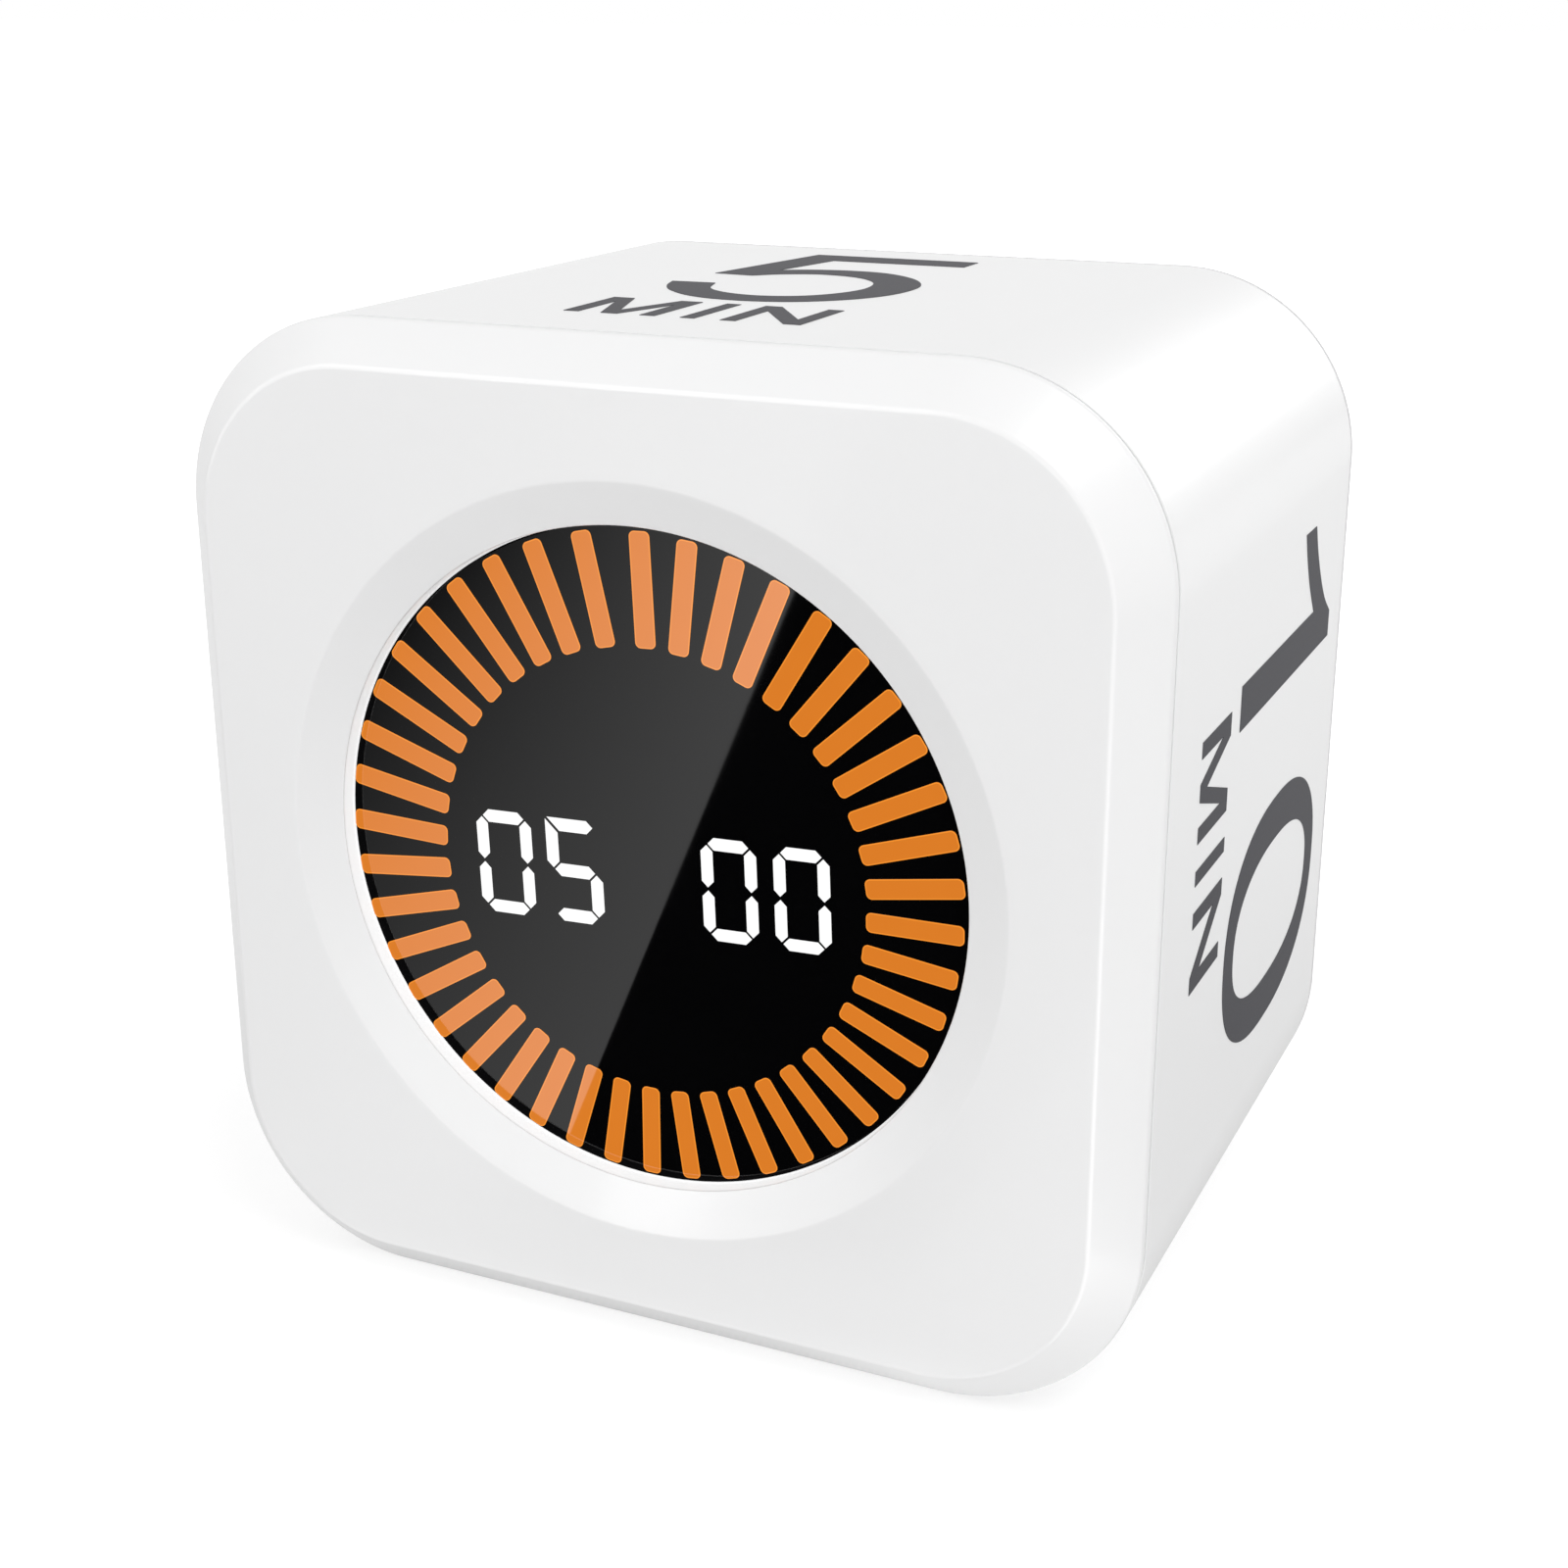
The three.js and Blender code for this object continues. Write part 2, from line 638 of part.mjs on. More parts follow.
function ribbonStrip() {
  const steps = 12;
  const bow = (share) => -ribbon.slack * Math.sin(Math.PI * share) ** 2;
  const run = ribbonEnd - ribbonStart;
  const near = [];
  const far = [];
  for (let i = 0; i <= steps; i += 1) {
    const share = i / steps;
    near.push(new THREE.Vector2(-run * share, bow(share)));
    far.unshift(new THREE.Vector2(-run * share, bow(share) + ribbon.thickness));
  }
  const settings = { depth: ribbon.width, bevelEnabled: false };
  const geometry = new THREE.ExtrudeGeometry(new THREE.Shape([...near, ...far]), settings);
  geometry.translate(0, -ribbon.thickness / 2, -ribbon.width / 2);
  return solid(geometry.rotateY(-Math.PI / 2));
}

function ribbonPlugBlock() {
  return slab(rect(ribbonPlug.width, ribbonPlug.height), 0, ribbonPlug.thickness);
}

// Battery lead from the cell's lower edge down to its socket on the main board
const leadSocketFront = boardFrontDepth - fit.seat - leadSocket.thickness;

function batteryLead(x) {
  const cellEdge = battery.middle - battery.height / 2 - fit.run;
  const cellBack = batteryFront + battery.thickness;
  const socketEnd = leadSocketFront - fit.run;
  const trayEdge = chassisBack + chassis.trayDepth;
  const start = new THREE.Vector3(x, cellEdge + lead.radius, -(cellBack + fit.run));
  const route = new THREE.CatmullRomCurve3([
    start,
    new THREE.Vector3(x, cellEdge - lead.spacing, -(cellBack + lead.spacing)),
    new THREE.Vector3(x, leadSocket.y, -(trayEdge + socketEnd) / 2 - lead.spacing),
    new THREE.Vector3(x, leadSocket.y, -socketEnd),
  ]);
  const section = disc(lead.radius);
  return solid(new THREE.ExtrudeGeometry(section, {
    steps: 12,
    bevelEnabled: false,
    curveSegments: screwEdges / 2,
    extrudePath: route,
  }));
}

function leadSocketBlock() {
  const pins = [-lead.spacing / 2, lead.spacing / 2].map((x) => (
    barrel(lead.radius, -fit.overrun, leadSocket.thickness / 2, x, 0)
  ));
  return cut(slab(rect(leadSocket.width, leadSocket.height), 0, leadSocket.thickness), pins);
}

// Rear pieces are drawn as seen from behind, with depths measured inward from the rear face
const screwTubeEnd = housing.tongueDepth;
const rearHeadSeat = seamDepth + screw.headHeight + fit.overrun;

const rearRoot = housing.rearPlate - boss.root;

function rearScrewTubes() {
  return corners(post.inset).map(([x, y]) => barrel(post.radius, rearRoot, screwTubeEnd, x, y));
}

function rearScrewBores() {
  return corners(post.inset).flatMap(([x, y]) => [
    barrel(screw.head + boss.headRoom, -fit.overrun, rearHeadSeat, x, y),
    barrel(screw.shank + boss.shankRoom, 0, screwTubeEnd + fit.overrun, x, y),
  ]);
}

const boardCorners = corners(mainBoard.screwInset, mainBoard.size, mainBoard.size);

function boardBosses() {
  const end = mainBoard.face - fit.seat;
  return boardCorners.map(([x, y]) => barrel(boardBoss.radius, rearRoot, end, x, y));
}

function boardPilots() {
  return boardCorners.map(([x, y]) => (
    barrel(screw.shank + fit.run, housing.rearPlate, mainBoard.face + fit.overrun, x, y)
  ));
}

function soundHoles() {
  const holes = [[0, 0]];
  for (let i = 0; i < soundHole.count; i += 1) {
    const angle = (2 * Math.PI * i) / soundHole.count;
    holes.push([soundHole.pitch * Math.cos(angle), soundHole.pitch * Math.sin(angle)]);
  }
  const back = housing.rearPlate + fit.overrun;
  return holes.map(([x, y]) => (
    barrel(soundHole.radius, -fit.overrun, back, buzzer.x + x, panel.lowerRow + y, screwEdges)
  ));
}

function controlHoles() {
  const through = [-fit.overrun, housing.rearPlate + fit.overrun];
  const slot = roundedRect(
    knob.width + 2 * (knob.travel + fit.run),
    knob.height + 2 * fit.run,
    knob.corner + fit.run,
    0,
    panel.upperRow,
  );
  const mouth = roundedRect(
    usbPort.width + 2 * fit.run,
    usbPort.height + 2 * fit.run,
    usbPort.corner + fit.run,
    0,
    panel.lowerRow,
  );
  return [
    barrel(button.radius + fit.run, ...through, button.place, panel.upperRow, capEdges),
    barrel(button.radius + fit.run, ...through, -button.place, panel.upperRow, capEdges),
    slab(slot, ...through),
    slab(mouth, ...through),
  ];
}

function rearCover() {
  const plate = cut(coverBlank(), [slab(housingOutline(innerInset), housing.plate, seamDepth + fit.overrun)]);
  const floorOutline = housingOutline(innerInset - housing.tongueWall / 2);
  const floor = slab(floorOutline, housing.plate / 2, housing.rearPlate);
  const hollow = slab(roundedRect(panel.width, panel.height, panel.corner), -fit.overrun, panel.depth);
  return cut(
    joined([plate, floor, coverTongue(housing.plate), ...rearScrewTubes(), ...boardBosses()]),
    [hollow, ...rearScrewBores(), ...boardPilots(), ...controlHoles(), ...soundHoles()],
  );
}

function mainCircuitBoard() {
  const holes = boardCorners.map(([x, y]) => (
    barrel(screw.shank + boss.shankRoom, -fit.overrun, mainBoard.thickness + fit.overrun, x, y)
  ));
  const outline = roundedRect(mainBoard.size, mainBoard.size, mainBoard.corner);
  return cut(slab(outline, 0, mainBoard.thickness), holes);
}

// Round buzzer with the sound port towards the rear cover
function buzzerCan() {
  return turned([
    [0, buzzer.thickness],
    [buzzer.radius, buzzer.thickness],
    [buzzer.radius, buzzer.edge],
    [buzzer.radius - buzzer.edge, 0],
    [buzzer.port, 0],
    [buzzer.port, buzzer.portDepth],
    [0, buzzer.portDepth],
  ], capEdges);
}

// Upright USB-C socket: shell, contact tongue and back block in one piece
function usbSocket() {
  const outer = roundedRect(usbPort.width, usbPort.height, usbPort.corner);
  const bore = roundedRect(
    usbPort.width - 2 * usbPort.wall,
    usbPort.height - 2 * usbPort.wall,
    usbPort.corner - usbPort.wall,
  );
  const hollow = slab(bore, -fit.overrun, usbPort.length - usbPort.back);
  const tongue = slab(rect(usbPort.tongueWidth, usbPort.tongueThickness), usbPort.tongueGap, usbPort.length);
  return cut(slab(outer, 0, usbPort.length), [hollow]).add(tongue);
}

// Button with a crowned cap, a flange that stays behind the panel and a stem; cap top at zero depth
function pushButton() {
  const flangeTop = buttonFlangeTop - button.sink;
  const flangeEnd = flangeTop + button.flangeThickness;
  return turned([
    [0, flangeEnd + button.stemLength],
    [button.stem, flangeEnd + button.stemLength],
    [button.stem, flangeEnd],
    [button.flange, flangeEnd],
    [button.flange, flangeTop],
    [button.radius, flangeTop],
    [button.radius, button.crown],
    [button.radius - button.crown, button.crown / 3],
    [0, 0],
  ], capEdges);
}

// Tact switch case with the bore that its plunger slides in
function tactCase() {
  const outline = roundedRect(tactSwitch.size, tactSwitch.size, tactSwitch.boreFloor);
  const bore = barrel(tactSwitch.bore, -fit.overrun, tactSwitch.height - tactSwitch.boreFloor);
  return cut(slab(outline, 0, tactSwitch.height, smallCorner), [bore]);
}

function tactPlunger() {
  return barrel(tactSwitch.plunger, 0, tactSwitch.plungerLength);
}

// Slider knob: cap in the slot with grip grooves, long flange behind it, socket for the actuator
function switchKnob() {
  const capDepth = buttonFlangeTop - knob.sink;
  const end = capDepth + knob.flangeThickness;
  const cap = slab(roundedRect(knob.width, knob.height, knob.corner), 0, end, innerCorner);
  const flange = slab(rect(knob.flangeLength, knob.flangeHeight), capDepth, end);
  const socketSize = actuator.width + 2 * fit.run;
  const socket = slab(rect(socketSize, socketSize), end - actuator.socketDepth, end + fit.overrun);
  const grooves = [-knob.gripPitch, 0, knob.gripPitch].map((x) => (
    slab(rect(knob.gripWidth, knob.height + fit.overrun, x, 0), -fit.overrun, knob.gripDepth)
  ));
  return cut(cap.add(flange), [socket, ...grooves]);
}

function slideSwitchCase() {
  const slot = actuator.base + 2 * (knob.travel + fit.run);
  return cut(slab(rect(slideSwitch.width, slideSwitch.height), 0, slideSwitch.thickness), [
    slab(rect(slot, slideSwitch.slotWidth), -fit.overrun, slideSwitch.slotDepth),
  ]);
}

// Actuator: base in the switch's slot and a stem up into the knob; stem end at zero depth
const switchTop = mainBoard.face - fit.seat - slideSwitch.thickness;
const actuatorTop = knobFlangeEnd - actuator.socketDepth + fit.run;
const actuatorEnd = switchTop + slideSwitch.slotDepth - fit.run;

function switchActuator() {
  const length = actuatorEnd - actuatorTop;
  const baseHeight = slideSwitch.slotWidth - 2 * fit.run;
  return slab(rect(actuator.width, actuator.width), 0, length).add(
    slab(rect(actuator.base, baseHeight), length - actuator.baseThickness, length),
  );
}

function chip(size, thickness) {
  return slab(roundedRect(size, size, thickness / 2), 0, thickness, smallCorner);
}

// Scene: one group looks from the front, a second one inside it looks from behind
const timer = new THREE.Group();
const frontView = new THREE.Group();
frontView.rotation.x = Math.PI / 2;
frontView.position.set(0, -housing.depth / 2, housing.height / 2);
timer.add(frontView);
const rearView = new THREE.Group();
rearView.rotation.y = Math.PI;
rearView.position.z = -housing.depth;
frontView.add(rearView);

function place(group, name, body, material, x = 0, y = 0, depth = 0) {
  const mesh = new THREE.Mesh(faces(body), material);
  mesh.name = name;
  mesh.position.set(x, y, -depth);
  group.add(mesh);
}

function placeFour(group, name, places, body, material, depth) {
  places.forEach(([x, y], index) => place(group, `${name}_${index + 1}`, body, material, x, y, depth));
}

// Shells
place(frontView, 'front_cover', frontCover(), whitePlastic);
place(frontView, 'body_sleeve', bodySleeve(), whitePlastic);
place(rearView, 'rear_cover', rearCover(), whitePlastic);

// Display stack
place(frontView, 'lens_tape_ring', tapeRing(), blackSleeve, 0, 0, lensSeat.depth + fit.seat);
place(frontView, 'display_lens', displayLens(), smokedAcrylic, 0, 0, lens.recess);
place(frontView, 'segment_film', segmentFilm(), milkyFilm, 0, 0, filmFront);
place(frontView, 'light_frame', lightWellFrame(), darkPlastic, 0, 0, frameFront);
place(frontView, 'display_board', displayCircuitBoard(), boardGreen, 0, 0, displayFront);
const ribbonPlace = [ribbon.x, ribbon.y];
place(frontView, 'display_ribbon_socket', ribbonPlugBlock(), darkPlastic, ...ribbonPlace, ribbonPlugFront);

// Chassis with the battery and the vibration motor
place(frontView, 'chassis', chassisPlate(), darkPlastic);
place(frontView, 'battery_foam_pad', foamPad(), foam, 0, battery.middle, foamFront);
place(frontView, 'battery_cell', pouchCell(), foilPouch, 0, battery.middle, batteryFront);
place(frontView, 'battery_lead_red', batteryLead(lead.x - lead.spacing / 2), redSleeve);
place(frontView, 'battery_lead_black', batteryLead(lead.x + lead.spacing / 2), blackSleeve);
const motorMiddle = motor.left + motor.length / 2;
place(frontView, 'vibration_motor', motorCan(), brightSteel, motorMiddle, motor.middle, motorAxisDepth);
const weightStart = motor.left + motor.length + fit.run;
place(frontView, 'motor_weight', motorWeight(), tungsten, weightStart, motor.middle, motorAxisDepth);
place(frontView, 'display_ribbon', ribbonStrip(), amberFilm, ...ribbonPlace, ribbonStart);

// Main board, its front side first
const mainSocketFront = boardFrontDepth - fit.seat - ribbonPlug.thickness;
place(frontView, 'main_ribbon_socket', ribbonPlugBlock(), darkPlastic, ...ribbonPlace, mainSocketFront);
const leadPlace = [lead.x, leadSocket.y];
place(frontView, 'battery_lead_socket', leadSocketBlock(), whitePlastic, ...leadPlace, leadSocketFront);
place(rearView, 'main_board', mainCircuitBoard(), boardGreen, 0, 0, mainBoard.face);
const chipDepth = boardBack + fit.seat;
const processorBody = chip(processor.size, processor.thickness);
place(rearView, 'processor_chip', processorBody, darkPlastic, processor.x, processor.y, chipDepth);
const sensorBody = chip(gravitySensor.size, gravitySensor.thickness);
place(rearView, 'gravity_sensor', sensorBody, darkPlastic, gravitySensor.x, gravitySensor.y, chipDepth);
const buzzerTop = mainBoard.face - fit.seat - buzzer.thickness;
place(rearView, 'buzzer', buzzerCan(), darkPlastic, buzzer.x, panel.lowerRow, buzzerTop);
const usbMouth = mainBoard.face - fit.seat - usbPort.length;
place(rearView, 'usb_socket', usbSocket(), brightSteel, 0, panel.lowerRow, usbMouth);

// Controls
const tactTop = mainBoard.face - fit.seat - tactSwitch.height;
const plungerTop = buttonStemEnd + fit.seam;
for (const [name, x] of [['minute', button.place], ['second', -button.place]]) {
  place(rearView, `${name}_button`, pushButton(), greyPlastic, x, panel.upperRow, button.sink);
  place(rearView, `${name}_switch_plunger`, tactPlunger(), darkPlastic, x, panel.upperRow, plungerTop);
  place(rearView, `${name}_switch_case`, tactCase(), brightSteel, x, panel.upperRow, tactTop);
}
place(rearView, 'switch_knob', switchKnob(), greyPlastic, 0, panel.upperRow, knob.sink);
place(rearView, 'switch_actuator', switchActuator(), darkPlastic, 0, panel.upperRow, actuatorTop);
place(rearView, 'slide_switch_case', slideSwitchCase(), brightSteel, 0, panel.upperRow, switchTop);

// Screws, each with its head towards the side that its group looks from
const displayHead = displayBack + fit.seam;
const displayScrew = panScrew(displayHead - (housing.plate + boss.floor + fit.run));
const displayCorners = corners(lightFrame.screwInset);
placeFour(rearView, 'display_screw', displayCorners, displayScrew, brightSteel, housing.depth - displayHead);
const chassisScrew = panScrew(chassis.thickness + post.grip - fit.overrun);
const chassisHead = chassis.front - fit.seam;
placeFour(frontView, 'chassis_screw', corners(post.inset), chassisScrew, brightSteel, chassisHead);
const boardScrew = panScrew(boardBack + fit.seam - (housing.rearPlate + fit.run));
placeFour(frontView, 'board_screw', boardCorners, boardScrew, brightSteel, boardFrontDepth - fit.seam);
const coverScrew = panScrew(screwTubeEnd - rearHeadSeat + post.grip - fit.overrun, true);
placeFour(rearView, 'cover_screw', corners(post.inset), coverScrew, brightSteel, rearHeadSeat - fit.seam);

export default timer;
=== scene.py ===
"""Looks of the cube timer: a white rounded housing with a round lit window, its camera and its light."""

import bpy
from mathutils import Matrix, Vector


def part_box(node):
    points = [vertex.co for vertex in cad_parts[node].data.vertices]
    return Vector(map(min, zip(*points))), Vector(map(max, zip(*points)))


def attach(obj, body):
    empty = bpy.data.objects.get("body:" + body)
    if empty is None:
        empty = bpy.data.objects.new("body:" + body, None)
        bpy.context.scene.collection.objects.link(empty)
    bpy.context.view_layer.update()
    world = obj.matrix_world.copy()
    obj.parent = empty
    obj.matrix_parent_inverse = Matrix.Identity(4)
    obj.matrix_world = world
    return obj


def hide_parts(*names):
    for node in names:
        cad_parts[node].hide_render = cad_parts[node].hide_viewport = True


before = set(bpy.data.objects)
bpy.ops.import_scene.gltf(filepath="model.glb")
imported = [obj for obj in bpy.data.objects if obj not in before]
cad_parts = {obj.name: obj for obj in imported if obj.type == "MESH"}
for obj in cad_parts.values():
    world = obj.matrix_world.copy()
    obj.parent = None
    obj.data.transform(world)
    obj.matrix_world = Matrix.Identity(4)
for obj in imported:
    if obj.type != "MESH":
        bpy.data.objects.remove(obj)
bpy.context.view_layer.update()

import logging
import math
from collections.abc import Callable, Iterable, Mapping, Sequence
from dataclasses import dataclass
from enum import Enum

import bmesh
import bpy
from mathutils import Matrix, Vector

Point = tuple[float, float]
Place = tuple[float, float, float]
Colour = tuple[float, float, float]
Outline = list[Point]
Ring = tuple[Outline, float]
Loop = list[bmesh.types.BMVert]
Outliner = Callable[[float], Outline]

MILLIMETRE = 0.001
log = logging.getLogger("cube_timer")


class Body(Enum):
    """The bodies that pieces ride on."""

    HOUSING = "housing"
    MINUTE_BUTTON = "minute_button"
    SECOND_BUTTON = "second_button"
    SWITCH_KNOB = "switch_knob"


# ---------------------------------------------------------------------------
# Outlines
# ---------------------------------------------------------------------------


def sweep(end: float, steps: int) -> list[float]:
    """Gives evenly spaced angles from zero to the end, both included."""
    return [end * step / steps for step in range(steps + 1)]


def circle(radius: float, x: float = 0, y: float = 0, count: int = 64) -> Outline:
    """Draws a circle about a point, counterclockwise from its right."""
    turns = sweep(2 * math.pi, count)[:-1]
    return [(x + radius * math.cos(turn), y + radius * math.sin(turn)) for turn in turns]


def round_hole(radius: float, x: float, y: float, count: int) -> Outliner:
    """Gives a round hole as a function of how far it is widened."""
    return lambda widen: circle(radius + widen, x, y, count)


def lathed(profile: Iterable[Point], x: float = 0, y: float = 0, count: int = 256) -> list[Ring]:
    """Turns a profile of radii and depths into round rings about a point."""
    return [(circle(radius, x, y, count), depth) for radius, depth in profile]


def rolled(edge: float, steps: int = 6) -> list[Point]:
    """Rounds an edge: gives how far each point lies inside the side and below the top."""
    return [(edge * (1 - math.sin(turn)), edge * (1 - math.cos(turn))) for turn in sweep(math.pi / 2, steps)]


def softened(hole: Outliner, edge: float, front: float) -> list[Ring]:
    """Gives the rings that round the edge where a hole opens in a flat face, from the face inwards."""
    return [(hole(inset), front + fall) for inset, fall in rolled(edge, 4)]


@dataclass(frozen=True)
class Bar:
    """A rectangle with round corners.

    Attributes:
        x: Place of its middle to the right.
        y: Place of its middle upwards.
        arc: Edges in each corner.
        follow: Share of a widening by which its corners grow too.
    """

    width: float
    height: float
    corner: float
    x: float = 0
    y: float = 0
    arc: int = 10
    follow: float = 1

    def outline(self, widen: float = 0) -> Outline:
        """Draws it counterclockwise.

        Args:
            widen: How much wider it is drawn on each side.

        Returns:
            The points of the outline.
        """
        radius = self.corner + self.follow * widen
        points = []
        for quarter, (across, along) in enumerate(((1, 1), (-1, 1), (-1, -1), (1, -1))):
            middle_x = self.x + across * (self.width / 2 + widen - radius)
            middle_y = self.y + along * (self.height / 2 + widen - radius)
            for step in range(self.arc + 1):
                angle = math.pi / 2 * (quarter + step / self.arc)
                points.append((middle_x + radius * math.cos(angle), middle_y + radius * math.sin(angle)))
        return points


def oval(width: float, height: float, x: float, y: float, fullness: float = 2.35, count: int = 96) -> Outline:
    """Draws an oval that is fuller than an ellipse, as the noughts of the presets are.

    Args:
        width: Its whole width.
        height: Its whole height.
        x: Place of its middle to the right.
        y: Place of its middle upwards.
        fullness: Power of the curve, 2 for an ellipse and more for squarer shoulders.
        count: Number of points.

    Returns:
        The points of the outline.
    """

    def stretch(share: float) -> float:
        """Pushes a sine or cosine outwards along the curve."""
        return math.copysign(abs(share) ** (2 / fullness), share)

    unit = circle(1, count=count)
    return [(x + width / 2 * stretch(right), y + height / 2 * stretch(up)) for right, up in unit]


def smooth(points: Sequence[Point], steps: int = 8) -> Outline:
    """Runs a smooth curve through a few points.

    Args:
        points: Points that the curve passes, in order.
        steps: Edges between each two of them.

    Returns:
        The points of the curve, both ends included.
    """
    knots = [Vector(point) for point in points]
    knots = [2 * knots[0] - knots[1], *knots, 2 * knots[-1] - knots[-2]]
    curve = []
    for before, start, end, after in zip(knots, knots[1:], knots[2:], knots[3:]):
        square = 2 * before - 5 * start + 4 * end - after
        cubic = 3 * start - before - 3 * end + after
        for step in range(steps):
            t = step / steps
            place = (2 * start + (end - before) * t + square * t * t + cubic * t * t * t) / 2
            curve.append((place.x, place.y))
    return [*curve, points[-1]]


def moved(outline: Iterable[Point], x: float = 0, y: float = 0, scale: float = 1) -> Outline:
    """Scales an outline about the origin, then shifts it."""
    return [(px * scale + x, py * scale + y) for px, py in outline]


def turned(outline: Iterable[Point], degrees: float) -> Outline:
    """Turns an outline counterclockwise about the origin."""
    cosine, sine = math.cos(math.radians(degrees)), math.sin(math.radians(degrees))
    return [(x * cosine - y * sine, x * sine + y * cosine) for x, y in outline]


def ribbon(line: Sequence[Point], width: float) -> Outline:
    """Gives a line the width of a pen, with square ends.

    Args:
        line: Points along the middle of the stroke.
        width: Width of the stroke.

    Returns:
        The outline round the stroke.
    """
    left, right = [], []
    for index, place in enumerate(line):
        ahead = Vector(line[min(index + 1, len(line) - 1)]) - Vector(line[max(index - 1, 0)])
        side = Vector((-ahead.y, ahead.x)).normalized() * width / 2
        left.append((place[0] + side.x, place[1] + side.y))
        right.append((place[0] - side.x, place[1] - side.y))
    return left + right[::-1]


# ---------------------------------------------------------------------------
# Shader nodes and finishes
# ---------------------------------------------------------------------------


def operator(operation: str, reflected: bool = False) -> Callable[["Value", "Value | float"], "Value"]:
    """Makes one arithmetic operator of Value.

    Args:
        operation: The Math node's operation.
        reflected: Whether the value is the second term.

    Returns:
        The operator as a method.
    """

    def work_out(value: "Value", other: "Value | float") -> "Value":
        """Adds the Math node of the operator."""
        first, second = (other, value) if reflected else (value, other)
        return value.nodes.sum(operation, first, second)

    return work_out


class Value:
    """An output of a shader node that can be used in Python arithmetic."""

    __add__, __radd__ = operator("ADD"), operator("ADD", True)
    __sub__, __rsub__ = operator("SUBTRACT"), operator("SUBTRACT", True)
    __mul__, __rmul__ = operator("MULTIPLY"), operator("MULTIPLY", True)
    __truediv__, __rtruediv__ = operator("DIVIDE"), operator("DIVIDE", True)

    def __init__(self, nodes: "Nodes", socket: bpy.types.NodeSocket) -> None:
        """Keeps the socket and the tree that it belongs to."""
        self.nodes = nodes
        self.socket = socket


class Nodes:
    """The node tree of one finish or light."""

    def __init__(self, tree: bpy.types.NodeTree) -> None:
        """Empties the tree."""
        tree.nodes.clear()
        self.tree = tree

    def add(
        self,
        kind: str,
        settings: Mapping[str, object] | None = None,
        inputs: Mapping[str | int, "Value | float | Sequence[float]"] | None = None,
        output: str | int = 0,
    ) -> Value:
        """Adds one node.

        Args:
            kind: The node's type.
            settings: Its settings by name.
            inputs: Numbers, colours or links for its sockets, by name or number.
            output: The output to go on with.

        Returns:
            That output.
        """
        node = self.tree.nodes.new(kind)
        for name, setting in (settings or {}).items():
            setattr(node, name, setting)
        for name, given in (inputs or {}).items():
            if isinstance(given, Value):
                self.tree.links.new(given.socket, node.inputs[name])
            else:
                node.inputs[name].default_value = given
        return Value(self, node.outputs[output])

    def end(self, surface: Value, kind: str = "ShaderNodeOutputMaterial") -> None:
        """Closes the tree with its output node."""
        self.tree.links.new(surface.socket, self.tree.nodes.new(kind).inputs["Surface"])

    def principled(self, inputs: Mapping[str, "Value | float | Sequence[float]"]) -> Value:
        """Adds the shader of a solid surface."""
        return self.add("ShaderNodeBsdfPrincipled", inputs=inputs)

    def emission(self, strength: "Value | float") -> Value:
        """Adds a white light; a strength that varies grades its colour."""
        if isinstance(strength, Value):
            return self.add("ShaderNodeEmission", inputs={"Color": self.shade((1, 1, 1), strength)})
        return self.add("ShaderNodeEmission", inputs={"Color": (1, 1, 1, 1), "Strength": strength})

    def sum(self, operation: str, first: "Value | float", second: "Value | float") -> Value:
        """Works out one step of arithmetic."""
        return self.add("ShaderNodeMath", {"operation": operation}, {0: first, 1: second})

    def point(self) -> Value:
        """Gives the point on the piece."""
        return self.add("ShaderNodeTexCoord", output="Object")

    def along(self, axis: str) -> Value:
        """Gives the place along an axis in millimetres."""
        return self.add("ShaderNodeSeparateXYZ", inputs={0: self.point()}, output=axis) / MILLIMETRE

    def stretched(self, stretch: Place = (1, 1, 1)) -> Value:
        """Gives the point on the piece, stretched by a factor along each axis."""
        inputs = {"Vector": self.point(), "Scale": stretch}
        return self.add("ShaderNodeMapping", {"vector_type": "POINT"}, inputs)

    def noise(self, size: float, detail: float = 2, stretch: Place = (1, 1, 1)) -> Value:
        """Gives cloudy noise about a half, of a size in millimetres, with octaves of finer noise on it."""
        inputs = {"Vector": self.stretched(stretch), "Scale": 1 / (size * MILLIMETRE), "Detail": detail}
        return self.add("ShaderNodeTexNoise", inputs=inputs)

    def cells(self, size: float, feature: str) -> Value:
        """Gives a pattern of cells of a size in millimetres."""
        inputs = {"Vector": self.stretched(), "Scale": 1 / (size * MILLIMETRE)}
        return self.add("ShaderNodeTexVoronoi", {"feature": feature, "distance": "EUCLIDEAN"}, inputs)

    def step(self, value: Value, edge: float, softness: float) -> Value:
        """Rises from 0 to 1 where the value passes the edge."""
        inputs = {"Value": value, "From Min": edge - softness, "From Max": edge + softness}
        return self.add("ShaderNodeMapRange", {"interpolation_type": "SMOOTHSTEP"}, inputs)

    def mix(self, share: Value, first: Colour, second: Colour) -> Value:
        """Mixes two colours by the share of the second."""
        inputs = {0: share, 6: (*first, 1), 7: (*second, 1)}
        return self.add("ShaderNodeMix", {"data_type": "RGBA"}, inputs, 2)

    def shade(self, colour: Colour, share: Value) -> Value:
        """Scales a colour by a share that varies over the surface."""
        return self.add("ShaderNodeVectorMath", {"operation": "SCALE"}, {"Vector": colour, "Scale": share})

    def bump(self, height: Value, relief: float, strength: float = 1) -> Value:
        """Turns a height between 0 and 1 into relief of a depth in millimetres, and shows a share of it."""
        inputs = {"Height": height, "Distance": relief * MILLIMETRE, "Strength": strength}
        return self.add("ShaderNodeBump", inputs=inputs, output="Normal")

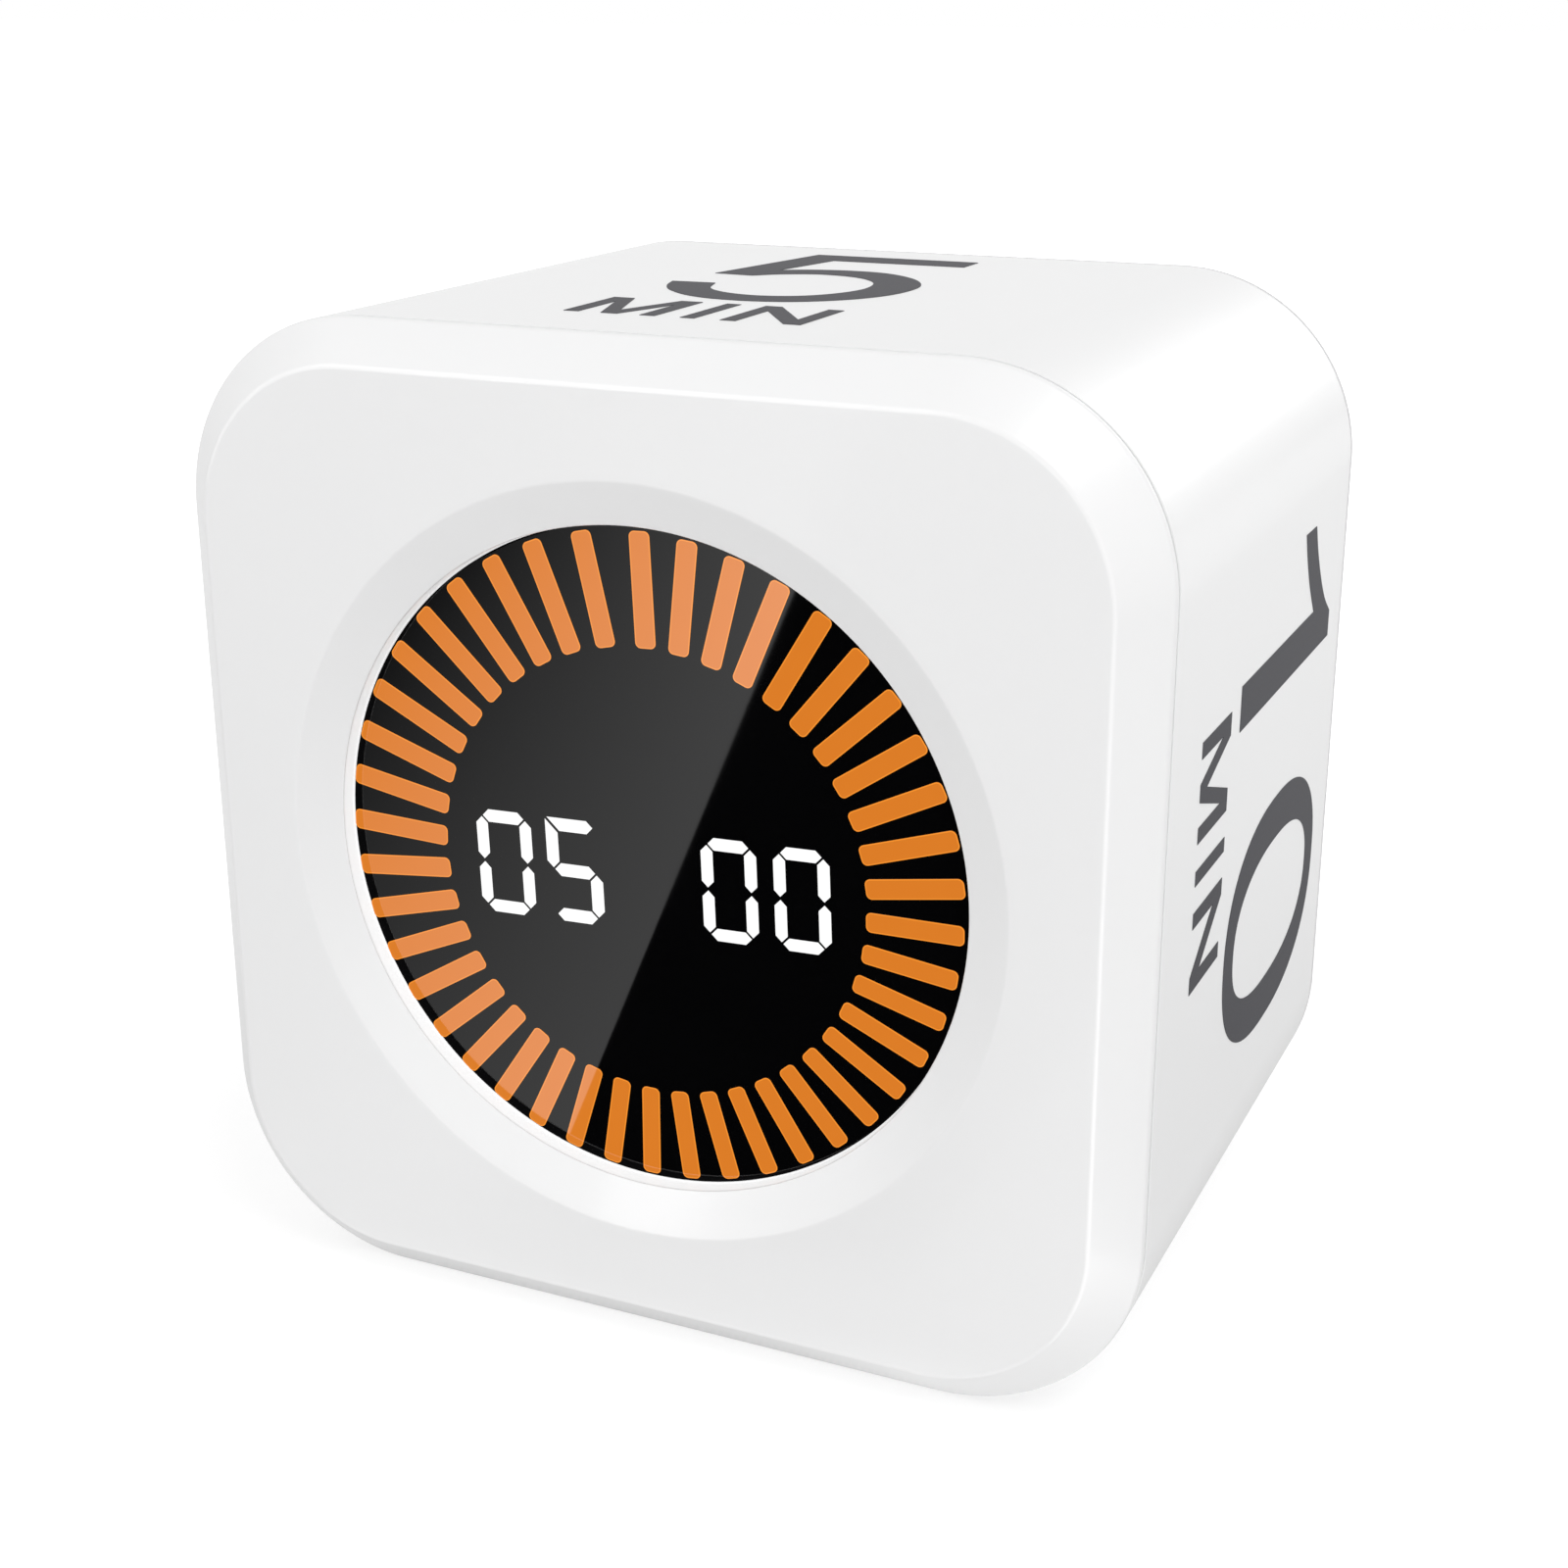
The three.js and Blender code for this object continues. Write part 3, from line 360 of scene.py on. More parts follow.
    def glossy_view(self) -> Value:
        """Is 1 for rays from the camera, mirrors and glass, which see the backdrop itself."""
        camera, glossy, glass = (
            self.add("ShaderNodeLightPath", output=kind)
            for kind in ("Is Camera Ray", "Is Glossy Ray", "Is Transmission Ray")
        )
        return self.sum("MAXIMUM", self.sum("MAXIMUM", camera, glossy), glass)


def graded(ends: Point, share: Value) -> Value:
    """Starts from the first number and adds a varying share of the second."""
    return ends[0] + ends[1] * share


@dataclass(frozen=True)
class Finish:
    """A finish of the object; its material is made when the first piece needs it.

    Attributes:
        name: The material's name.
        slot: The record's material slot that it belongs to; nothing here reads it.
        colour: Its colour.
    """

    name: str
    slot: str
    colour: Colour

    def material(self) -> bpy.types.Material:
        """Makes the material once and gives it to every piece that asks."""
        material = bpy.data.materials.get(self.name)
        if not material:
            material = bpy.data.materials.new(self.name)
            material.use_nodes = True
            nodes = Nodes(material.node_tree)
            nodes.end(self.surface(nodes))
        return material

    def surface(self, nodes: Nodes) -> Value:
        """Makes the surface shader; each kind of finish has its own."""
        raise NotImplementedError


@dataclass(frozen=True)
class Plastic(Finish):
    """Moulded or printed plastic with a fine grain.

    Attributes:
        roughness: Its mean roughness.
        mottle: Share by which the colour drifts over the piece.
        grain: Size of the mould's texture in millimetres.
        relief: Depth of that texture in millimetres.
        coat: Weight of the clear gloss on it.
        gloss: Strength of its reflections, 0.5 for common plastics.
        glow: Strength of its emission, painted light that brightens it; no lamp shines through it.
        drift: Size of the colour's clouds in millimetres.
        swing: By how much the roughness varies with the grain.
        coat_roughness: Roughness of the clear gloss.
    """

    roughness: float
    mottle: float = 0.02
    grain: float = 0.3
    relief: float = 0.002
    coat: float = 0
    gloss: float = 0.5
    glow: float = 0
    drift: float = 14
    swing: float = 0.06
    coat_roughness: float = 0.1

    def surface(self, nodes: Nodes) -> Value:
        """Drifts the colour and roughness slowly and presses the mould's grain into the surface."""
        drift = nodes.noise(self.drift)
        grain = nodes.noise(self.grain, 3)
        return nodes.principled({
            "Base Color": nodes.shade(self.colour, 1 + self.mottle * (drift - 0.5)),
            "Roughness": self.roughness + self.swing * (grain - 0.5),
            "Specular IOR Level": self.gloss,
            "Coat Weight": self.coat,
            "Coat Roughness": self.coat_roughness,
            # A glow is painted light: no lamp shines through the plastic.
            "Emission Strength": self.glow,
            "Normal": nodes.bump(grain, self.relief),
        })


@dataclass(frozen=True)
class SmokedGlass(Finish):
    """Smoked acrylic of the window, black until it is lit from behind.

    Attributes:
        polish: Least roughness, and how much the haze of handling adds.
        index: Refractive index.
        haze: Size of the haze in millimetres.
        clouding: Share by which the haze lightens the colour.
    """

    polish: Point = (0.015, 0.02)
    index: float = 1.49
    haze: float = 6
    clouding: float = 0.4

    def surface(self, nodes: Nodes) -> Value:
        """Keeps a mirror gloss with the faintest haze of handling."""
        haze = nodes.noise(self.haze, 4)
        return nodes.principled({
            "Base Color": nodes.shade(self.colour, 1 + self.clouding * haze),
            "Roughness": graded(self.polish, haze),
            "IOR": self.index,
        })


@dataclass(frozen=True)
class Lit(Finish):
    """A part of the window that a lamp lights from behind.

    Attributes:
        index: Refractive index of the gloss over it.
        falloff: Share by which it fades and swells along the piece.
        cloud: Size of those changes in millimetres.
        polish: Least roughness, and how much the haze adds.
        unlit: Colour without the lamp.
    """

    index: float = 1.49
    falloff: float = 0.03
    cloud: float = 1.6
    polish: Point = (0.015, 0.02)
    unlit: Colour = (0.002, 0.002, 0.002)

    def surface(self, nodes: Nodes) -> Value:
        """Glows under the same gloss as the window."""
        cloud = nodes.noise(self.cloud, 1)
        return nodes.principled({
            "Base Color": (*self.unlit, 1),
            "Roughness": graded(self.polish, cloud),
            "IOR": self.index,
            "Emission Color": nodes.shade(self.colour, 1 + self.falloff * (cloud - 0.5)),
            "Emission Strength": 1,
        })


@dataclass(frozen=True)
class Metal(Finish):
    """Bare or plated metal with drawing or turning marks.

    Attributes:
        roughness: Its mean roughness.
        stretch: Stretch of the marks along each axis.
        mark: Size of a mark in millimetres.
        patch: Size in millimetres of the patches that handling dulls.
        tone: Least brightness of the colour, and how much the patches add.
        swing: By how much the roughness varies with the marks and with the patches.
        relief: Depth of the marks in millimetres, and the share of it that shows.
    """

    roughness: float
    stretch: Place = (1, 0.08, 1)
    mark: float = 0.12
    patch: float = 2.5
    tone: Point = (0.9, 0.2)
    swing: Point = (0.14, 0.1)
    relief: Point = (0.002, 0.6)

    def surface(self, nodes: Nodes) -> Value:
        """Runs fine marks along the metal and lets handling dull it in patches."""
        marks = nodes.noise(self.mark, 3, self.stretch)
        patches = nodes.noise(self.patch)
        by_marks, by_patches = self.swing
        return nodes.principled({
            "Base Color": nodes.shade(self.colour, graded(self.tone, patches)),
            "Roughness": self.roughness + by_marks * (marks - 0.5) + by_patches * (patches - 0.5),
            "Metallic": 1,
            "Normal": nodes.bump(marks, *self.relief),
        })


@dataclass(frozen=True)
class BoardLaminate(Finish):
    """Circuit board with tracks under green solder mask.

    Attributes:
        track: Colour of the mask over copper; its own colour is that over bare laminate.
        mesh: Size of the net of tracks in millimetres.
        edge: Where a track ends between two cells, and how softly.
        haze: Size in millimetres of the clouds in its gloss.
        polish: Least roughness, and how much the clouds add.
        relief: Height of a track in millimetres, and the share of it that shows.
    """

    track: Colour = (0.012, 0.13, 0.04)
    mesh: float = 3.125
    edge: Point = (0.06, 0.015)
    haze: float = 1.2
    polish: Point = (0.32, 0.1)
    relief: Point = (0.03, 0.7)

    def surface(self, nodes: Nodes) -> Value:
        """Lays a net of tracks under the mask, each a little raised."""
        copper = 1 - nodes.step(nodes.cells(self.mesh, "DISTANCE_TO_EDGE"), *self.edge)
        return nodes.principled({
            "Base Color": nodes.mix(copper, self.colour, self.track),
            "Roughness": graded(self.polish, nodes.noise(self.haze)),
            "Normal": nodes.bump(copper, *self.relief),
        })


@dataclass(frozen=True)
class Foil(Finish):
    """Aluminium laminate of the cell's pouch.

    Attributes:
        crumple: Size of its crumples in millimetres.
        tone: Least brightness of the colour, and how much the crumples add.
        polish: Least roughness, and how much they add.
        metal: Share of bare metal under the laminate.
        relief: Their depth in millimetres, and the share of it that shows.
    """

    crumple: float = 5
    tone: Point = (0.85, 0.3)
    polish: Point = (0.25, 0.25)
    metal: float = 0.85
    relief: Point = (0.25, 0.5)

    def surface(self, nodes: Nodes) -> Value:
        """Crumples the foil softly."""
        crumple = nodes.noise(self.crumple, 4)
        return nodes.principled({
            "Base Color": nodes.shade(self.colour, graded(self.tone, crumple)),
            "Roughness": graded(self.polish, crumple),
            "Metallic": self.metal,
            "Normal": nodes.bump(crumple, *self.relief),
        })


@dataclass(frozen=True)
class Foam(Finish):
    """Open-cell foam of the battery pad.

    Attributes:
        cell: Size of a cell in millimetres.
        shadow: Brightness at the bottom of a cell.
        polish: Least roughness, and how much the cells add.
        relief: Depth of a cell in millimetres.
    """

    cell: float = 1 / 2.6
    shadow: float = 0.4
    polish: Point = (0.9, 0.1)
    relief: float = 0.15

    def surface(self, nodes: Nodes) -> Value:
        """Darkens and sinks each cell of the foam."""
        cells = nodes.cells(self.cell, "F1")
        return nodes.principled({
            "Base Color": nodes.shade(self.colour, self.shadow + cells),
            "Roughness": graded(self.polish, cells),
            "Normal": nodes.bump(cells, self.relief),
        })


WHITE = (0.86, 0.86, 0.862)
SHELL = Plastic("shell_plastic", "white_shell", WHITE, 0.34, 0.012, 0.35, 0.0012, 0.25, 0.58)
# The trim's glow is painted light: it brightens the bore wall where no lamp shines.
PAINTED_GLOW_TRIM = Plastic("painted_glow_window_trim", "white_shell", WHITE, 0.5, 0.012, 0.35, 0.0012, 0, 0.15, 0.39)
LEAD_HOUSING = Plastic("socket_plastic", "white_shell", (0.7, 0.69, 0.65), 0.45, 0.03, 0.2)
INK = Plastic("pad_print_ink", "dark_plastic", (0.044, 0.0436, 0.0515), 0.5, 0.05, 0.2, gloss=0.1)
GLASS = SmokedGlass("smoked_window", "smoked_lens", (0.0012, 0.0012, 0.0014))
AMBER_LIGHT = Lit("lit_amber", "milky_film", (0.722, 0.205, 0.0195), 1.8)
AMBER_BORDER = Lit("lit_amber_border", "milky_film", (0.95, 0.3, 0.03), 1.8)
WHITE_LIGHT = Lit("lit_white", "milky_film", (1.03, 1.03, 1.03))
GREY_BUTTON = Plastic("grey_button_plastic", "grey_plastic", (0.1, 0.1, 0.11), 0.42, 0.05, 0.25, 0.004)
DARK = Plastic("dark_plastic", "dark_plastic", (0.012, 0.012, 0.013), 0.5, 0.2, 0.25, 0.004)
FILM = Plastic("milky_film", "milky_film", (0.62, 0.6, 0.56), 0.5, 0.05, 0.15)
STEEL = Metal("bright_steel", "bright_steel", (0.62, 0.63, 0.64), 0.28)
TUNGSTEN = Metal("heavy_metal", "heavy_metal", (0.3, 0.29, 0.28), 0.4)
GOLD = Metal("contact_gold", "bright_steel", (0.83, 0.6, 0.25), 0.22)
BOARD = BoardLaminate("circuit_board", "circuit_board", (0.006, 0.07, 0.022))
POUCH = Foil("cell_foil", "cell_foil", (0.55, 0.56, 0.58))
PAD = Foam("black_foam", "black_foam", (0.035, 0.035, 0.037))
RIBBON = Plastic("ribbon_film", "ribbon_film", (0.36, 0.15, 0.025), 0.35, 0.1, 0.6, 0.003, 0.4)
RED = Plastic("red_sleeve", "red_sleeve", (0.42, 0.02, 0.014), 0.45, 0.06, 0.3, 0.003)
BLACK = Plastic("black_sleeve", "black_sleeve", (0.008, 0.008, 0.009), 0.5, 0.1, 0.3, 0.003)


# ---------------------------------------------------------------------------
# Housing sizes and mesh building
# ---------------------------------------------------------------------------


@dataclass(frozen=True)
class Housing:
    """Sizes of the housing in millimetres, as the CAD model has them.

    Attributes:
        plate: Thickness of the front face.
        rear_plate: Thickness of the rear face.
        glass: Depth of the window behind the face.
        screw_inset: How far the cover screws stand inside the housing's sides.
        print_room: How far the side faces lie inside the CAD faces, which the print stands out to.
        groove: Width and depth of the witness line where two shells meet.
        arc: Edges in each corner.
    """

    width: float = 64
    height: float = 64
    depth: float = 49.4
    corner_radius: float = 12.6
    face_corner_radius: float = 10.5
    chamfer: float = 2.6
    edge_fillet: float = 0.5
    wall: float = 2
    plate: float = 2.2
    rear_plate: float = 3
    glass: float = 2.31
    screw_inset: float = 8
    print_room: float = 0.03
    groove: Point = (0.44, 0.42)
    arc: int = 40

    @property
    def seam(self) -> float:
        """Depth at which a cover meets the sleeve, and the inset of its face."""
        return self.chamfer + self.edge_fillet * math.tan(math.pi / 8)

    @property
    def groove_end(self) -> float:
        """Depth at which the groove ends and the sleeve starts."""
        return self.seam + self.groove[0]

    def outline(self, inset: float) -> Outline:
        """Draws the housing at an inset from its sides; its corners tighten towards the face."""
        radius = self.corner_radius - inset * (self.corner_radius - self.face_corner_radius) / self.seam
        shrink = 2 * (inset + self.print_room)
        return Bar(self.width - shrink, self.height - shrink, radius, arc=self.arc).outline()

    def rings(self, sides: Iterable[Point]) -> list[Ring]:
        """Draws rings of the housing from their insets and depths."""
        return [(self.outline(inset), depth) for inset, depth in sides]

    def cover_edge(self) -> list[Ring]:
        """Gives the rings of a cover from its flat face over the chamfer and its fillets to the seam."""
        fillet = self.edge_fillet
        turns = sweep(math.pi / 4, 8)
        face = [(self.seam - fillet * math.sin(turn), fillet * (1 - math.cos(turn))) for turn in turns]
        return self.rings([*face, *((depth, inset) for inset, depth in face[::-1])])

    def cover_rim(self) -> list[Ring]:
        """Gives the rings behind a cover's seam: the witness groove and the end of the wall."""
        deep, back = self.groove[1], self.groove_end
        return self.rings([(deep, self.seam), (deep, back), (self.wall, back)])

    def screw_places(self) -> list[Point]:
        """Gives the places of the four cover screws about the middle of the rear face."""
        x, y = self.width / 2 - self.screw_inset, self.height / 2 - self.screw_inset
        return [(side * x, level * y) for side in (1, -1) for level in (1, -1)]


HOUSING = Housing()


@dataclass(frozen=True)
class View:
    """A flat face of the housing that pieces are drawn on.

    Attributes:
        origin: Point of the face that drawings start from, in millimetres.
        right: Direction to the right for someone who looks at the face.
        up: Direction upwards on it.
    """

    origin: Place
    right: Place
    up: Place

    def at(self, x: float, y: float, depth: float) -> Vector:
        """Finds a point in the object's frame, in metres.

        Args:
            x: Millimetres to the right.
            y: Millimetres upwards.
            depth: Millimetres in behind the face.

        Returns:
            The point.
        """
        right, up = Vector(self.right), Vector(self.up)
        place = Vector(self.origin) + x * right + y * up - depth * right.cross(up)
        return place * MILLIMETRE


class Face(Enum):
    """The six faces. On the four side faces a drawing's up direction runs from front to back."""

    FRONT = View((0, -HOUSING.depth / 2, HOUSING.height / 2), (1, 0, 0), (0, 0, 1))
    REAR = View((0, HOUSING.depth / 2, HOUSING.height / 2), (-1, 0, 0), (0, 0, 1))
    TOP = View((0, -HOUSING.depth / 2, HOUSING.height), (1, 0, 0), (0, 1, 0))
    RIGHT = View((HOUSING.width / 2, -HOUSING.depth / 2, HOUSING.height / 2), (0, 0, -1), (0, 1, 0))
    BOTTOM = View((0, -HOUSING.depth / 2, 0), (-1, 0, 0), (0, 1, 0))
    LEFT = View((-HOUSING.width / 2, -HOUSING.depth / 2, HOUSING.height / 2), (0, 0, 1), (0, 1, 0))


class Skin:
    """A mesh drawn in loops of points on one face of the housing, in millimetres.

    Attributes:
        sharp: Angle in degrees from which an edge stays sharp.
        weld: Distance in metres below which points are one.
    """

    sharp = 32
    weld = 1e-8

    def __init__(self, face: Face) -> None:
        """Starts an empty mesh on a face."""
        self.view = face.value
        self.mesh = bmesh.new()

    def loop(self, outline: Outline, depth: float) -> Loop:
        """Adds the points of an outline at a depth."""
        return [self.mesh.verts.new(self.view.at(x, y, depth)) for x, y in outline]

    def chain(self, rings: Iterable[Ring]) -> tuple[Loop, Loop]:
        """Joins rings of equal count, one after the other.

        Args:
            rings: Outlines with their depths.

        Returns:
            The first and the last loop.
        """
        loops = [self.loop(outline, depth) for outline, depth in rings]
        for near, far in zip(loops, loops[1:]):
            self.band(near, far)
        return loops[0], loops[-1]

    def band(self, near: Loop, far: Loop) -> None:
        """Joins two loops of equal count."""
        for index in range(len(near)):
            after = (index + 1) % len(near)
            self.mesh.faces.new((near[index], far[index], far[after], near[after]))

    def hoop(self, rings: Iterable[Ring]) -> None:
        """Adds a closed form with a hole through it: its last ring joins its first."""
        first, last = self.chain(rings)
        self.band(last, first)

    def fill(self, outer: Loop, holes: Sequence[Loop] = ()) -> None:
        """Fills the flat area inside a loop, except for its holes.

        Args:
            outer: The loop round the area.
            holes: Loops that stay open.
        """
        edges = []
        for ring in (outer, *holes):
            for ends in zip(ring, ring[1:] + ring[:1]):
                edges.append(self.mesh.edges.get(ends) or self.mesh.edges.new(ends))
        bmesh.ops.triangle_fill(self.mesh, use_beauty=True, edges=edges)

    def slab(self, outline: Outline, front: float, back: float, holes: Sequence[Outline] = ()) -> None:
        """Adds a straight-sided plate.

        Args:
            outline: Its outline.
            front: Depth of its front.
            back: Depth of its back.
            holes: Outlines of holes through it.
        """
        ends = [self.chain([(ring, front), (ring, back)]) for ring in (outline, *holes)]
        for side in (0, 1):
            self.fill(ends[0][side], [end[side] for end in ends[1:]])

    def block(self, rings: Iterable[Ring]) -> None:
        """Adds a closed form through rings, with flat ends."""
        for end in self.chain(rings):
            self.fill(end)

    def piece(
        self, name: str, finish: Finish, replaces: Sequence[str] = (), body: Body = Body.HOUSING
    ) -> bpy.types.Object:
        """Turns the drawing into a piece of the object.

        Args:
            name: The piece's name.
            finish: Its finish.
            replaces: CAD nodes that it stands for.
            body: The body that it rides on.

        Returns:
            The piece.
        """
        bmesh.ops.remove_doubles(self.mesh, verts=self.mesh.verts, dist=self.weld)
        bmesh.ops.recalc_face_normals(self.mesh, faces=self.mesh.faces)
        for surface in self.mesh.faces:
            surface.smooth = True
        for edge in self.mesh.edges:
            edge.smooth = edge.calc_face_angle(0) < math.radians(self.sharp)
        data = bpy.data.meshes.new(name)
        self.mesh.to_mesh(data)
        self.mesh.free()
        data.materials.append(finish.material())
        thing = bpy.data.objects.new(name, data)
        bpy.context.scene.collection.objects.link(thing)
        even = thing.modifiers.new("even_shading", "WEIGHTED_NORMAL")
        even.keep_sharp = True
        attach(thing, body.value)
        if replaces:
            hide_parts(*replaces)
        log.info("%s: %d faces in %s", name, len(data.polygons), finish.name)
        return thing


# ---------------------------------------------------------------------------
# Shells
# ---------------------------------------------------------------------------


@dataclass
class FrontCover:
    """Front shell: flat face, chamfered edge and the cone round the window.

    Attributes:
        cone_outer: Radius at which the cone leaves the face.
        cone_inner: Radius at which it ends.
        cone_fillet: Radius of its edge at the face.
        lip: Radius of its edge at the bore.
        trim: Thickness of the trim in the bore.
        play: Gap between the trim and the shell.
        bead: How far the trim's bead stands in over the glass.
        tail: How far the trim runs on behind the glass's front.
        mask: Gaps from the trim to the inner and outer side of the black ring of painted shade behind it.
    """

    cone_outer: float = 24
    cone_inner: float = 21.2
    cone_depth: float = 1.17
    cone_fillet: float = 0.6
    lip: float = 0.14
    trim: float = 0.06
    play: float = 0.01
    bead: float = 0.07
    tail: float = 0.2
    mask: Point = (0.002, 0.008)
    seat_depth: float = 3
    seat_radius: float = 26.1

    @property
    def slope(self) -> float:
        """Angle of the cone to the face."""
        return math.atan2(self.cone_depth, self.cone_outer - self.cone_inner)

    @property
    def bore_start(self) -> float:
        """Depth at which the cone's lip has turned into the bore."""
        return self.cone_depth + self.lip * math.tan((math.pi / 2 - self.slope) / 2)

    def window(self) -> list[Ring]:
        """Gives the rings of the window, from the face down the cone and the bore to the lens seat."""
        slope, fillet = self.slope, self.cone_fillet
        start, turns = self.cone_outer + fillet * math.tan(slope / 2), sweep(slope, 8)
        profile = [(start - fillet * math.sin(turn), fillet * (1 - math.cos(turn))) for turn in turns]
        for turn in sweep(math.pi / 2 - slope, 6):
            radius = self.cone_inner + self.lip * (1 - math.sin(slope + turn))
            profile.append((radius, self.bore_start - self.lip * math.cos(slope + turn)))
        bore = self.cone_inner + self.trim
        profile += [(bore, self.bore_start), (bore, self.seat_depth), (self.seat_radius, self.seat_depth)]
        return lathed([*profile, (self.seat_radius, HOUSING.plate)])

    def build_trim(self) -> None:
        """Builds the white trim that lines the bore up to a bead at the glass, whose glow is painted light on
        the bore wall, and behind it a black ring of painted shade that the glass mirrors in place of the wall
        that the glow lights.
        """
        inner, outer = self.cone_inner, self.cone_inner + self.trim - self.play
        start, glass, back = self.bore_start, HOUSING.glass, HOUSING.glass + self.tail
        bead = [(inner, glass - 2 * self.bead), (inner - 0.6 * self.bead, glass - self.bead)]
        bead += [(inner - self.bead, glass), (inner - self.bead, back)]
        trim = Skin(Face.FRONT)
        trim.hoop(lathed([(outer, start + self.play), (inner, start), *bead, (outer, back)]))
        # The trim's finish glows: painted light that brightens the bore wall.
        trim.piece("window_trim", PAINTED_GLOW_TRIM).visible_glossy = False
        # A black ring as painted shade: the glass mirrors it instead of the shell wall that the trim's glow
        # lights.
        near, far = (outer + gap for gap in self.mask)
        mask = Skin(Face.FRONT)
        mask.hoop(lathed([(near, start), (near, back), (far, back), (far, start)]))
        mask.piece("window_painted_shade_ring", DARK)

    def build(self) -> None:
        """Builds the cover with its trim."""
        skin = Skin(Face.FRONT)
        back = HOUSING.rings([(HOUSING.wall, HOUSING.plate)])
        face, inside = skin.chain(HOUSING.cover_edge() + HOUSING.cover_rim() + back)
        mouth, seat = skin.chain(self.window())
        skin.fill(face, [mouth])
        skin.fill(inside, [seat])
        skin.piece("front_shell", SHELL, ["front_cover"])
        self.build_trim()


@dataclass
class BodySleeve:
    """Four-sided sleeve between the two covers, with a small bevel at each end."""

    bevel: float = 0.055

    def build(self) -> None:
        """Builds the sleeve."""
        front, back, bevel = HOUSING.groove_end, HOUSING.depth - HOUSING.groove_end, self.bevel
        sides = [(bevel, front), (0, front + bevel), (0, back - bevel), (bevel, back)]
        skin = Skin(Face.FRONT)
        skin.hoop(HOUSING.rings([*sides, (HOUSING.wall, back), (HOUSING.wall, front)]))
        skin.piece("sleeve_shell", SHELL, ["body_sleeve"])


@dataclass(frozen=True)
class ControlPanel:
    """Sizes of the shallow panel in the rear cover and of the openings in it.

    Attributes:
        upper_row: Height of the buttons and the switch above the middle of the rear face.
        lower_row: Height of the inlet and the sound holes.
        edge: Radius of the openings' edges.
        rim: The panel's outline.
        rim_edge: Radius of the panel's edge.
        foot: Inset and height of each ring in the corner round the panel's floor.
        slot: Opening of the switch.
        mouth: Opening of the inlet.
        sound: Place across, hole radius and pitch of the sound holes.
    """

    depth: float = 1
    upper_row: float = 6
    lower_row: float = -6.5
    edge: float = 0.22
    rim: Bar = Bar(43, 25, 5, arc=16)
    rim_edge: float = 0.3
    foot: tuple[Point, ...] = ((0, 0.2), (0.06, 0.06), (0.2, 0))
    button_place: float = 14
    button_hole: float = 3.5
    slot: Bar = Bar(9, 3.2, 1.1, 0, upper_row, 12)
    mouth: Bar = Bar(9.54, 3.86, 1.8, 0, lower_row, 12)
    sound: Place = (-13, 0.6, 2.3)

    def border(self) -> list[Ring]:
        """Gives the rings from the cover's face down to the panel's floor."""
        floor = [(self.rim.outline(-inset), self.depth - rise) for inset, rise in self.foot]
        return softened(self.rim.outline, self.rim_edge, 0) + floor

    def openings(self) -> list[Outliner]:
        """Gives each opening in the panel as a function of how far it is widened."""
        across, radius, pitch = self.sound
        sound = [(across, self.lower_row), *circle(pitch, across, self.lower_row, 6)]
        return [
            *(round_hole(self.button_hole, side * self.button_place, self.upper_row, 72) for side in (-1, 1)),
            self.slot.outline,
            self.mouth.outline,
            *(round_hole(radius, x, y, 28) for x, y in sound),
        ]


PANEL = ControlPanel()


@dataclass
class RearCover:
    """Rear shell: chamfered edge, control panel with its openings, and four screw wells.

    Attributes:
        ledge: Inset at which the rear face's thick middle starts.
        well_edge: Radius of a well's edge.
        well_seat: Depth of the screw head's seat.
        well_end: Depth of the tube's end.
        shank_hole: Radius of the hole for the screw's shank.
    """

    ledge: float = 3.65
    well_radius: float = 2.3
    well_edge: float = 0.25
    well_seat: float = 5.01
    well_end: float = 7
    tube_radius: float = 3
    shank_hole: float = 1.2
    around: int = 48

    def well(self, x: float, y: float) -> list[Ring]:
        """Gives the rings of one screw well, from the face in and back out round its tube."""
        tube = [
            (self.well_radius, self.well_seat),
            (self.shank_hole, self.well_seat),
            (self.shank_hole, self.well_end),
            (self.tube_radius, self.well_end),
            (self.tube_radius, HOUSING.rear_plate),
        ]
        mouth = softened(round_hole(self.well_radius, x, y, self.around), self.well_edge, 0)
        return mouth + lathed(tube, x, y, self.around)

    def build(self) -> None:
        """Builds the cover."""
        skin = Skin(Face.REAR)
        ledge = HOUSING.rings([(self.ledge, HOUSING.groove_end), (self.ledge, HOUSING.rear_plate)])
        face, inside = skin.chain(HOUSING.cover_edge() + HOUSING.cover_rim() + ledge)
        panel, floor = skin.chain(PANEL.border())
        wells = [skin.chain(self.well(*place)) for place in HOUSING.screw_places()[::-1]]
        openings = [
            skin.chain([*softened(opening, PANEL.edge, PANEL.depth), (opening(0), HOUSING.rear_plate)])
            for opening in PANEL.openings()
        ]
        skin.fill(face, [panel, *(near for near, _ in wells)])
        skin.fill(floor, [near for near, _ in openings])
        skin.fill(inside, [far for _, far in wells + openings])
        skin.piece("rear_shell", SHELL, ["rear_cover"])


# ---------------------------------------------------------------------------
# Window and lit dial
# ---------------------------------------------------------------------------


@dataclass
class DisplayLens:
    """Stepped smoked window: a plug in the bore and a flange behind its seat, given by their radii."""

    plug: float = 21.12
    edge: float = 0.08
    flange: float = 24.6
    flange_front: float = 3.6
    back: float = 4.8

    def build(self) -> None:
        """Builds the lens."""
        plug, flange, seat = self.plug, self.flange, self.flange_front
        profile = [(plug - inset, HOUSING.glass + fall) for inset, fall in rolled(self.edge, 4)]
        profile += [(plug, seat), (flange, seat), (flange, self.back)]
        skin = Skin(Face.FRONT)
        skin.block(lathed(profile))
        skin.piece("window_lens", GLASS, ["display_lens"])


